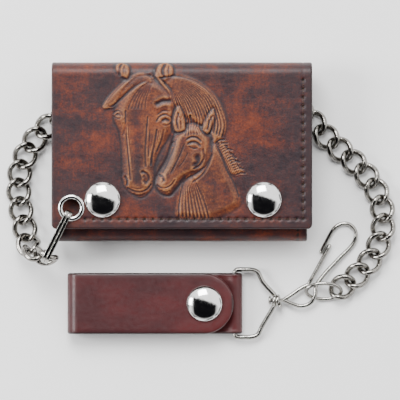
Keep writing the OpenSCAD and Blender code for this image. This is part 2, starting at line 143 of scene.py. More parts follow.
def spline(points: Sequence[Sequence[float]], steps: int = 8, closed: bool = False) -> Array:
    """Catmull-Rom curve through points: each span is the cubic whose end slopes are half the
    difference of the neighbouring points.

    Args:
        points: the points the curve goes through.
        steps: new points for each span.
        closed: whether the curve returns to its start.

    Returns:
        The dense row of points.
    """
    p = np.asarray(points, float)
    if closed:
        a, b, c, d = np.roll(p, 1, 0), p, np.roll(p, -1, 0), np.roll(p, -2, 0)
    else:
        q = np.vstack([2 * p[0] - p[1], p, 2 * p[-1] - p[-2]])
        a, b, c, d = q[:-3], q[1:-2], q[2:-1], q[3:]
    t = (np.arange(steps) / steps)[None, :, None]
    a, b, c, d = (v[:, None] for v in (a, b, c, d))
    curve = 0.5 * (2 * b + (c - a) * t + (2 * a - 5 * b + 4 * c - d) * t**2 + (3 * b - 3 * c + d - a) * t**3)
    curve = curve.reshape(-1, p.shape[1])
    return curve if closed else np.vstack([curve, p[-1]])


@dataclass
class Shape:
    """Points and faces that several parts are gathered into before they become one object."""

    points: list[Array] = field(default_factory=list)
    faces: list[Array] = field(default_factory=list)
    count: int = 0

    def add(self, points: Array, *faces: Array) -> "Shape":
        """Adds one closed part, shifting its vertex numbers past those already here."""
        self.points.append(np.asarray(points, float))
        self.faces += [np.asarray(f) + self.count for f in faces]
        self.count += len(points)
        return self

    def object(self, name: str, smooth: bool = True) -> Object:
        """Makes the object."""
        return make_object(name, np.vstack(self.points), self.faces, smooth)


def tube(
    path: Array,
    radius: float,
    sides: int = 12,
    closed: bool = False,
    up: Array | Sequence[float] = (0.0, 0.0, 1.0),
    flat: float = 1.0,
) -> tuple[Array, list[Array]]:
    """Round wire: a circle carried along a path, square to the path's direction at each point.
    Open wires end in half balls: extra rings of radius r cos a, set r sin a past the end.

    Args:
        path: (n, 3) centre line.
        radius: wire radius.
        sides: vertices round the wire.
        closed: whether the wire joins its own start.
        up: one direction for all, or one for each point, that the rings are turned from.
        flat: height of the section as a share of its width.

    Returns:
        Points and face sets.
    """
    path = np.asarray(path, float)
    ups = np.broadcast_to(np.asarray(up, float), path.shape)
    radii = np.full(len(path), float(radius))
    if closed:
        ahead = unit(np.roll(path, -1, 0) - np.roll(path, 1, 0))
    else:
        a = np.radians([80.0, 55.0, 28.0])
        first, last = unit(path[1] - path[0]), unit(path[-1] - path[-2])
        path = np.vstack(
            [path[0] - first * (radius * np.sin(a))[:, None], path, path[-1] + last * (radius * np.sin(a[::-1]))[:, None]]
        )
        ups = np.vstack([np.repeat(ups[:1], 3, 0), ups, np.repeat(ups[-1:], 3, 0)])
        radii = np.concatenate([radius * np.cos(a), radii, radius * np.cos(a[::-1])])
        ahead = unit(np.gradient(path, axis=0))
    side = unit(np.cross(ahead, ups))
    over = np.cross(side, ahead)
    t = np.arange(sides) * 2 * math.pi / sides
    ring = side[:, None] * np.cos(t)[None, :, None] + flat * over[:, None] * np.sin(t)[None, :, None]
    points = (path[:, None] + radii[:, None, None] * ring).reshape(-1, 3)
    n = len(path)
    faces = [grid_faces(n, sides, closed, True)[:, ::-1]]
    if not closed:
        k = np.arange(sides)
        faces.append(np.stack([k, (k + 1) % sides, np.full(sides, n * sides)], 1))
        last_ring = (n - 1) * sides
        faces.append(np.stack([last_ring + (k + 1) % sides, last_ring + k, np.full(sides, n * sides + 1)], 1))
        points = np.vstack([points, path[0], path[-1]])
    return points, faces


def lathe(profile: Sequence[Sequence[float]], at: Sequence[float], segments: int = 64) -> tuple[Array, list[Array]]:
    """Turned part: a profile of radius and height carried round an upright axis.
    A profile that starts and ends on the axis closes in a pole there; any other closes on itself.

    Args:
        profile: (radius, height) pairs, going outwards underneath and back over the top.
        at: x, y of the axis and the height that the profile counts from.
        segments: steps round the axis.

    Returns:
        Points and face sets.
    """
    p = np.asarray(profile, float)
    poles = p[0, 0] < 1e-9
    body = p[1:-1] if poles else p
    t = np.arange(segments) * 2 * math.pi / segments
    x = body[:, :1] * np.cos(t)
    y = body[:, :1] * np.sin(t)
    z = np.broadcast_to(body[:, 1:], x.shape)
    points = np.stack([x, y, z], -1).reshape(-1, 3)
    n = len(body)
    faces = [grid_faces(n, segments, not poles, True)]
    if poles:
        k = np.arange(segments)
        points = np.vstack([points, [0, 0, p[0, 1]], [0, 0, p[-1, 1]]])
        faces.append(np.stack([(k + 1) % segments, k, np.full(segments, n * segments)], 1))
        last = (n - 1) * segments
        faces.append(np.stack([last + k, last + (k + 1) % segments, np.full(segments, n * segments + 1)], 1))
    return points + np.asarray(at, float), faces


def rounded(profile: Sequence[Sequence[float]], radius: float, steps: int = 3) -> Array:
    """Rounds the corners of a closed outline: each corner becomes a short curve between points set
    radius (or a third of the side) back along its two sides."""
    p = np.asarray(profile, float)
    back, ahead = np.roll(p, 1, 0) - p, np.roll(p, -1, 0) - p
    cut = np.minimum(radius, np.minimum(np.linalg.norm(back, axis=1), np.linalg.norm(ahead, axis=1)) * 0.45)[:, None]
    a, b = p + unit(back) * cut, p + unit(ahead) * cut
    t = np.linspace(0, 1, steps + 1)[None, :, None]
    curve = (1 - t) ** 2 * a[:, None] + 2 * t * (1 - t) * p[:, None] + t**2 * b[:, None]
    return curve.reshape(-1, 2)


@dataclass
class Sheet:
    """Piece of leather or card cut from a flat sheet, with its edges rounded over.

    The sheet is a grid in u (across) and v (along) with two faces. Near an edge the faces close in
    by r - sqrt(r^2 - d^2), where d is how far the point lies inside the last r of the sheet.
    """

    u: tuple[float, float]
    v: tuple[float, float]
    thick: float
    step_u: float = 3.0
    step_v: float = 3.0
    # Which edges are rounded over: low u, high u, low v, high v
    soft: tuple[bool, bool, bool, bool] = (True, True, True, True)
    # Corner radii in plan: low u low v, high u low v, low u high v, high u high v
    corners: tuple[float, float, float, float] = (0.0, 0.0, 0.0, 0.0)

    def lines(self, span: tuple[float, float], step: float, low: bool, high: bool, dense: float) -> Array:
        """Grid lines across one span, with extra lines where an edge is rounded over."""
        r = self.thick * 0.46
        edge = r * (1 - np.cos(np.radians([0, 25, 50, 70, 90])))
        if dense > 0:
            edge = np.concatenate([edge, np.linspace(r, dense, 9)[1:]])
        start = span[0] + (edge if low else edge[:1])
        stop = (span[1] - (edge if high else edge[:1]))[::-1]
        n = max(2, int(round((stop[0] - start[-1]) / step)))
        inner = np.linspace(start[-1], stop[0], n + 1)[1:-1]
        return np.concatenate([start, inner, stop])

    def grid(self) -> tuple[Array, Array, Array]:
        """Plan position and edge drop of each grid point.

        Returns:
            u, v and the drop of each face, each of the grid's shape (rows along v).
        """
        reach_v = max(self.corners)
        lu = self.lines(self.u, self.step_u, self.soft[0], self.soft[1], reach_v)
        lv = self.lines(self.v, self.step_v, self.soft[2], self.soft[3], reach_v)
        u, v = np.meshgrid(lu, lv)
        r = self.thick * 0.46
        du = np.zeros_like(u)
        dv = np.zeros_like(v)
        if self.soft[0]:
            du = np.maximum(du, r - (u - self.u[0]))
        if self.soft[1]:
            du = np.maximum(du, r - (self.u[1] - u))
        if self.soft[2]:
            dv = np.maximum(dv, r - (v - self.v[0]))
        if self.soft[3]:
            dv = np.maximum(dv, r - (self.v[1] - v))
        deep = np.minimum(np.hypot(np.maximum(du, 0), np.maximum(dv, 0)), r)
        for k, (su, sv) in enumerate(((0, 0), (1, 0), (0, 1), (1, 1))):
            radius = self.corners[k]
            if radius <= 0:
                continue
            cu = self.u[su] + (radius if su == 0 else -radius)
            cv = self.v[sv] + (radius if sv == 0 else -radius)
            a = (u - cu) * (1 if su else -1)
            b = (v - cv) * (1 if sv else -1)
            inside = (a > 0) & (b > 0)
            scale = np.where(inside, np.maximum(a, b) / np.maximum(np.hypot(a, b), 1e-9), 1.0)
            u = np.where(inside, cu + (u - cu) * scale, u)
            v = np.where(inside, cv + (v - cv) * scale, v)
            rim = np.maximum(r - (radius - np.maximum(a, b)), 0)
            deep = np.where(inside, np.minimum(rim, r), deep)
        drop = r - np.sqrt(np.maximum(r * r - deep * deep, 0))
        return u, v, drop

    def solid(
        self,
        place: Callable[[Array, Array, Array], Array],
        raised: Callable[[Array, Array], Array] | None = None,
        hole: tuple[float, float, float] | None = None,
    ) -> tuple[Array, list[Array]]:
        """Closed sheet: upper face, lower face, and a wall round the rim and round a hole.

        Args:
            place: takes u, v and height t over the sheet's middle and gives points.
            raised: extra height of the upper face at u, v.
            hole: u, v and radius of a round hole.

        Returns:
            Points and face sets. The upper face's points come first.
        """
        u, v, drop = self.grid()
        rows, cols = u.shape
        keep = np.ones((rows - 1, cols - 1), bool)
        if hole:
            d = np.hypot(u - hole[0], v - hole[1])
            near = np.abs(d - hole[2]) < 0.75 * max(self.step_u, self.step_v)
            shrink = np.where(near, hole[2] / np.maximum(d, 1e-9), 1.0)
            u, v = hole[0] + (u - hole[0]) * shrink, hole[1] + (v - hole[1]) * shrink
            cu = (u[:-1, :-1] + u[1:, 1:] + u[:-1, 1:] + u[1:, :-1]) / 4
            cv = (v[:-1, :-1] + v[1:, 1:] + v[:-1, 1:] + v[1:, :-1]) / 4
            keep = np.hypot(cu - hole[0], cv - hole[1]) > hole[2] * 0.98
        lift = raised(u, v) if raised else 0.0
        top = place(u, v, self.thick / 2 - drop + lift)
        low = place(u, v, -self.thick / 2 + drop)
        points = np.concatenate([top.reshape(-1, 3), low.reshape(-1, 3)])
        n = rows * cols
        quads = grid_faces(rows, cols)
        kept = keep.ravel()
        faces = [quads[kept], (quads[kept] + n)[:, ::-1]]
        padded = np.zeros((rows + 1, cols + 1), bool)
        padded[1:-1, 1:-1] = keep
        index = np.arange(n).reshape(rows, cols)
        walls = []
        here = padded[1:, 1:] != padded[:-1, 1:]
        i, j = np.nonzero(here[:, :-1])
        a, b = index[i, j], index[i, j + 1]
        flip = padded[i + 1, j + 1]
        a, b = np.where(flip, a, b), np.where(flip, b, a)
        walls.append(np.stack([b, a, a + n, b + n], 1))
        here = padded[1:, 1:] != padded[1:, :-1]
        i, j = np.nonzero(here[:-1, :])
        a, b = index[i, j], index[i + 1, j]
        flip = padded[i + 1, j + 1]
        a, b = np.where(flip, b, a), np.where(flip, a, b)
        walls.append(np.stack([b, a, a + n, b + n], 1))
        return points, faces + walls


def lying(middle_z: float) -> Callable[[Array, Array, Array], Array]:
    """Place for a sheet that lies level, its middle at one height, with u along X and v along Y."""

    def place(u: Array, v: Array, t: Array) -> Array:
        """Puts u, v, t at x, y and the sheet's own height."""
        return np.stack([u, v, middle_z + t], -1)

    return place


@dataclass
class Bend:
    """Path in one upright plane that a sheet is bent along: v runs along it and t stands square to it."""

    path: Array

    def __post_init__(self) -> None:
        """Measures the path: its length up to each point, and the direction square to it."""
        steps = np.linalg.norm(np.diff(self.path, axis=0), axis=1)
        self.run = np.concatenate([[0], np.cumsum(steps)])
        self.total = float(self.run[-1])
        ahead = unit(np.gradient(self.path, self.run, axis=0))
        self.square = np.stack([-ahead[:, 1], ahead[:, 0]], 1)

    def at(self, v: Array, t: Array) -> tuple[Array, Array]:
        """Point of the plane at v along the path and t to its left."""
        a = np.interp(v, self.run, self.path[:, 0])
        b = np.interp(v, self.run, self.path[:, 1])
        n = np.stack([np.interp(v, self.run, self.square[:, k]) for k in (0, 1)])
        n = n / np.maximum(np.hypot(*n), 1e-9)
        return a + n[0] * t, b + n[1] * t


def squarish_bend(depth: float, height: float, steps: int = 40) -> Array:
    """Half of a rounded oblong: (d cos^0.75 a, h/2 sin^0.75 a), for a from -90 to 90 degrees."""
    a = np.radians(np.linspace(-90, 90, steps))
    x = depth * np.maximum(np.cos(a), 0) ** 0.75
    y = height / 2 * np.sign(a) * np.abs(np.sin(a)) ** 0.75
    return np.stack([x, y], 1)


# ---------------------------------------------------------------------------
# Materials


def add_node(tree: bpy.types.NodeTree, kind: str, links: dict | None = None, **settings: object) -> bpy.types.Node:
    """Adds a node with its settings and links.

    Args:
        tree: the node tree.
        kind: the node's type name.
        links: input name or number to the output socket, or the value, that it takes.
        settings: the node's own properties.

    Returns:
        The new node.
    """
    node = tree.nodes.new(kind)
    for name, value in settings.items():
        setattr(node, name, value)
    for key, source in (links or {}).items():
        if isinstance(source, bpy.types.NodeSocket):
            tree.links.new(source, node.inputs[key])
        else:
            node.inputs[key].default_value = source
    return node


def ramp(tree: bpy.types.NodeTree, value: bpy.types.NodeSocket, stops: Sequence[tuple[float, str]]) -> bpy.types.NodeSocket:
    """Colour ramp through hex colours at the given places."""
    node = add_node(tree, "ShaderNodeValToRGB", {0: value})
    elements = node.color_ramp.elements
    while len(elements) < len(stops):
        elements.new(0.5)
    for element, (place, code) in zip(elements, stops):
        element.position = place
        element.color = linear(code)
    return node.outputs["Color"]


def mix(tree: bpy.types.NodeTree, share: object, a: object, b: object, blend: str = "MIX") -> bpy.types.NodeSocket:
    """Mixes two colours by a share."""
    node = add_node(tree, "ShaderNodeMix", {}, data_type="RGBA", blend_type=blend)
    for key, source in ((0, share), (6, a), (7, b)):
        if isinstance(source, bpy.types.NodeSocket):
            tree.links.new(source, node.inputs[key])
        else:
            node.inputs[key].default_value = source
    return node.outputs[2]


def span(tree: bpy.types.NodeTree, value: bpy.types.NodeSocket, low: float, high: float, out_low: float, out_high: float) -> bpy.types.NodeSocket:
    """Maps one range of numbers to another, clamped."""
    links = {"Value": value, "From Min": low, "From Max": high, "To Min": out_low, "To Max": out_high}
    return add_node(tree, "ShaderNodeMapRange", links).outputs["Result"]


def start_material(name: str) -> tuple[Material, bpy.types.NodeTree, bpy.types.Node, bpy.types.NodeSocket]:
    """New material with its shader and the piece's own coordinates, in metres."""
    material = bpy.data.materials.new(name)
    material.use_nodes = True
    tree = material.node_tree
    shader = tree.nodes["Principled BSDF"]
    place = add_node(tree, "ShaderNodeTexCoord").outputs["Object"]
    return material, tree, shader, place


def noise(tree: bpy.types.NodeTree, place: bpy.types.NodeSocket, size_mm: float, detail: float = 4.0, stretch: tuple[float, float, float] = (1, 1, 1), rough: float = 0.55) -> bpy.types.NodeSocket:
    """Noise whose blotches are about size_mm across, stretched along an axis where its share is below 1."""
    scale = 1 / (size_mm * MM)
    moved = add_node(tree, "ShaderNodeMapping", {"Vector": place, "Scale": tuple(s * scale for s in stretch)})
    links = {"Vector": moved.outputs[0], "Scale": 1.0, "Detail": detail, "Roughness": rough}
    return add_node(tree, "ShaderNodeTexNoise", links).outputs["Fac"]


def attribute(tree: bpy.types.NodeTree, name: str) -> bpy.types.NodeSocket:
    """Reads a number stored on the piece's vertices."""
    return add_node(tree, "ShaderNodeAttribute", {}, attribute_name=name).outputs["Fac"]


@dataclass(frozen=True)
class AntiqueLeather:
    """Vegetable-tanned cowhide, wiped with dark antique dye over a russet base and waxed.

    To the eye: russet patches over purple-brown, with fine streaks where the cloth dragged the
    dye and dark along cut edges. Raised tooling is tan where the antique is wiped back, with a painted
    highlight; recesses are dark with dye and painted shade. Painted shade also darkens the stitch
    holes and a band along the top fold.
    """

    name: str = "antique waxed cowhide"
    dark: str = "1c0e15"
    brown: str = "2f1315"
    warm: str = "4d1b0c"
    bright: str = "6d2c0c"
    tan: str = "936540"
    pore_mm: float = 0.55

    def make(self) -> Material:
        """Builds the material."""
        material, tree, shader, place = start_material(self.name)
        broad = noise(tree, place, 21, 3.0, (0.7, 1, 1))
        cloth = noise(tree, place, 5.0, 7.0, (0.75, 1, 1), 0.78)
        streak = noise(tree, place, 1.5, 5.0, (1, 0.14, 1), 0.7)
        speck = noise(tree, place, 0.9, 4.0, (1, 1, 1), 0.75)
        mottle = mix(tree, 0.5, broad, cloth)
        mottle = mix(tree, 0.16, mottle, streak)
        mottle = mix(tree, 0.2, mottle, speck)
        stops = [(0.42, self.dark), (0.49, self.brown), (0.55, self.warm), (0.63, self.bright)]
        colour = ramp(tree, mottle, stops)
        figure = attribute(tree, "figure")
        waxed = ramp(tree, mix(tree, 0.5, cloth, speck), [(0.36, "2a110c"), (0.48, "51220d"), (0.62, "7a4219")])
        colour = mix(tree, span(tree, figure, 0.0, 1.0, 0.0, 0.62), colour, waxed)
        # relief value: raised tooling goes tan where the antique is wiped back and as a painted highlight; sunk tooling
        # goes dark with dye and painted shade
        rub_highlight_and_shade = attribute(tree, "rub_highlight_and_shade")
        worn_tan_and_highlight = mix(tree, span(tree, speck, 0.35, 0.65, 0.0, 1.0), linear("6d4020"), linear(self.tan))
        colour = mix(tree, span(tree, rub_highlight_and_shade, 0.03, 0.15, 0.0, 0.85), colour, worn_tan_and_highlight)
        colour = mix(tree, span(tree, rub_highlight_and_shade, -0.015, -0.09, 0.0, 0.92), colour, linear("1a0c13"))
        # edge value: dark along cut edges; on the cover it also holds a painted shade band along the top fold, and the
        # undersides of the cover and inner panel carry a fixed high value
        edge = attribute(tree, "edge")
        colour = mix(tree, span(tree, edge, 0.1, 1.0, 0.0, 0.8), colour, linear("1e1014"))
        # hole value: painted shade, the leather in the stitch holes darkened to near black
        hole = attribute(tree, "hole")
        colour = mix(tree, span(tree, hole, 0.28, 0.6, 0.0, 0.97), colour, linear("040303"))
        tree.links.new(colour, shader.inputs["Base Color"])
        tree.links.new(span(tree, cloth, 0.35, 0.65, 0.40, 0.56), shader.inputs["Roughness"])
        pores = noise(tree, place, self.pore_mm, 3.0)
        creases = noise(tree, place, 2.6, 5.0, (0.6, 1, 1), 0.65)
        bump = add_node(tree, "ShaderNodeBump", {"Height": pores, "Strength": 0.4, "Distance": 0.0001})
        links = {"Height": creases, "Strength": 0.35, "Distance": 0.0003, "Normal": bump.outputs[0]}
        bump = add_node(tree, "ShaderNodeBump", links)
        tree.links.new(bump.outputs[0], shader.inputs["Normal"])
        shader.inputs["Specular IOR Level"].default_value = 0.35
        shader.inputs["Coat Weight"].default_value = 0.06
        shader.inputs["Coat Roughness"].default_value = 0.35
        return material


@dataclass(frozen=True)
class SmoothLeather:
    """Bridle leather, drum-dyed, burnished at its edges: even colour with faint darker clouds."""

    name: str
    main: str
    cloud: str
    rim: str
    rough: float = 0.38
    coat: float = 0.2

    def make(self) -> Material:
        """Builds the material."""
        material, tree, shader, place = start_material(self.name)
        cloud = noise(tree, place, 16, 3.0, (0.5, 1, 1))
        fine = noise(tree, place, 1.6, 4.0)
        colour = ramp(tree, cloud, [(0.38, self.cloud), (0.62, self.main)])
        colour = mix(tree, span(tree, fine, 0.35, 0.75, 0.0, 0.25), colour, linear(self.cloud))
        edge = attribute(tree, "edge")
        colour = mix(tree, span(tree, edge, 0.12, 0.8, 0.0, 0.85), colour, linear(self.rim))
        tree.links.new(colour, shader.inputs["Base Color"])
        tree.links.new(span(tree, fine, 0.3, 0.7, self.rough - 0.06, self.rough + 0.08), shader.inputs["Roughness"])
        bump = add_node(tree, "ShaderNodeBump", {"Height": fine, "Strength": 0.25, "Distance": 0.0001})
        tree.links.new(bump.outputs[0], shader.inputs["Normal"])
        shader.inputs["Specular IOR Level"].default_value = 0.4
        shader.inputs["Coat Weight"].default_value = self.coat
        shader.inputs["Coat Roughness"].default_value = 0.25
        return material


@dataclass(frozen=True)
class NickelPlate:
    """Steel wire or stamping, barrel-polished and nickel plated: mirror bright with faint clouding.

    Drawn wire is never quite even, so its reflections break up every couple of millimetres.
    """

    name: str
    colour: str = "d9d9d6"
    rough: float = 0.09
    cloudy: str = "b5b3ae"
    uneven: float = 0.0

    def make(self) -> Material:
        """Builds the material."""
        material, tree, shader, place = start_material(self.name)
        cloud = noise(tree, place, 2.5, 3.0)
        shade = mix(tree, span(tree, cloud, 0.35, 0.7, 0.0, 0.3), linear(self.colour), linear(self.cloudy))
        tree.links.new(shade, shader.inputs["Base Color"])
        tree.links.new(span(tree, cloud, 0.3, 0.7, self.rough, self.rough + 0.09), shader.inputs["Roughness"])
        if self.uneven:
            dents = noise(tree, place, 1.6, 2.0)
            bump = add_node(tree, "ShaderNodeBump", {"Height": dents, "Strength": self.uneven, "Distance": 0.0003})
            tree.links.new(bump.outputs[0], shader.inputs["Normal"])
        shader.inputs["Metallic"].default_value = 1.0
        return material


@dataclass(frozen=True)
class WaxedThread:
    """Waxed polyester thread, twisted: dark brown with a golden cast, and a fine slanting twist."""

    name: str = "waxed brown thread"

    def make(self) -> Material:
        """Builds the material."""
        material, tree, shader, place = start_material(self.name)
        turned = add_node(tree, "ShaderNodeMapping", {"Vector": place, "Rotation": (0, 0, 0.8)})
        links = {"Vector": turned.outputs[0], "Scale": 1 / (2.4 * MM), "Distortion": 0.3}
        twist = add_node(tree, "ShaderNodeTexWave", links).outputs["Fac"]
        tree.links.new(ramp(tree, twist, [(0.2, "1c0e0b"), (0.8, "4a2816")]), shader.inputs["Base Color"])
        bump = add_node(tree, "ShaderNodeBump", {"Height": twist, "Strength": 0.5, "Distance": 0.0001})
        tree.links.new(bump.outputs[0], shader.inputs["Normal"])
        shader.inputs["Roughness"].default_value = 0.6
        return material


@dataclass(frozen=True)
class ClearVinyl:
    """Soft clear vinyl sheet of a card window: see-through, slightly rippled."""

    name: str = "clear vinyl"

    def make(self) -> Material:
        """Builds the material."""
        material, tree, shader, place = start_material(self.name)
        ripple = noise(tree, place, 14, 2.0)
        bump = add_node(tree, "ShaderNodeBump", {"Height": ripple, "Strength": 0.3, "Distance": 0.0005})
        tree.links.new(bump.outputs[0], shader.inputs["Normal"])
        tree.links.new(ramp(tree, ripple, [(0.3, "dfe5e6"), (0.7, "f3f6f6")]), shader.inputs["Base Color"])
        shader.inputs["Roughness"].default_value = 0.12
        shader.inputs["Alpha"].default_value = 0.35
        return material


class Finish(Enum):
    """The finishes of the object, each named for what the real part is made of."""

    COVER = AntiqueLeather()
    LINING = SmoothLeather("lining kid leather", "352019", "271613", "180e0c", 0.55, 0.0)
    STRAP = SmoothLeather("burgundy bridle leather", "48181a", "351215", "0c0607", 0.4, 0.12)
    CAP = NickelPlate("nickel plated snap cap", "dededc", 0.05)
    WIRE = NickelPlate("nickel plated wire", "aaa8a3", 0.06, "827f7a", 0.25)
    CHAIN = NickelPlate("nickel plated curb chain", "8f8c87", 0.04, "605d58", 0.75)
    THREAD = WaxedThread()
    VINYL = ClearVinyl()


class Dresser:
    """Makes each finish once and puts it and the body on each piece."""

    SLOTS = {
        Finish.COVER: "wallet_leather",
        Finish.LINING: "lining",
        Finish.STRAP: "strap_leather",
        Finish.CAP: "nickel",
        Finish.WIRE: "nickel",
        Finish.CHAIN: "nickel",
        Finish.THREAD: "thread",
        Finish.VINYL: "clear_window",
    }

    def __init__(self) -> None:
        """Starts with no material made."""
        self.made: dict[Finish, Material] = {}

    def dress(self, piece: Object, finish: Finish, nodes: Sequence[str], body: str | None) -> Object:
        """Gives a piece its finish, hides the CAD nodes it stands for, and fixes it to what it rides on.

        Args:
            piece: the finished object.
            finish: its finish.
            nodes: the CAD nodes it replaces.
            body: the CAD body it moves with, or None to leave it unattached.

        Returns:
            The piece.
        """
        if finish not in self.made:
            self.made[finish] = finish.value.make()
        piece.data.materials.append(self.made[finish])
        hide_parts(*nodes)
        if body:
            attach(piece, body)
        log.info("%s: %d faces, %s", piece.name, len(piece.data.polygons), finish.name.lower())
        return piece


# ---------------------------------------------------------------------------
# Tooling on the flap: a mare's head with her foal's


def line_distance(line: Array, x: Array, y: Array) -> Array:
    """Distance from each point to a row of straight segments: the least distance to any segment."""
    a, b = line[:-1], line[1:]
    d = b - a
    px, py = x[:, None] - a[None, :, 0], y[:, None] - a[None, :, 1]
    t = np.clip((px * d[:, 0] + py * d[:, 1]) / np.maximum((d**2).sum(1), 1e-9), 0, 1)
    return np.hypot(px - t * d[:, 0], py - t * d[:, 1]).min(1)


def inside_depth(outline: Array, x: Array, y: Array) -> Array:
    """Depth inside a closed outline: distance to it, positive inside by the even-odd rule."""
    loop = np.vstack([outline, outline[:1]])
    a, b = loop[:-1], loop[1:]
    cross = (a[None, :, 1] > y[:, None]) != (b[None, :, 1] > y[:, None])
    slope = (b[:, 0] - a[:, 0]) / np.where(np.abs(b[:, 1] - a[:, 1]) < 1e-9, 1e-9, b[:, 1] - a[:, 1])
    hits = cross & (x[:, None] < a[None, :, 0] + slope * (y[:, None] - a[None, :, 1]))
    sign = np.where(hits.sum(1) % 2 == 1, 1.0, -1.0)
    return sign * line_distance(loop, x, y)


def swell(depth: Array, width: float) -> Array:
    """Smooth step from 0 at the outline to 1 at width inside it."""
    t = np.clip(depth / width, 0, 1)
    return t * t * (3 - 2 * t)


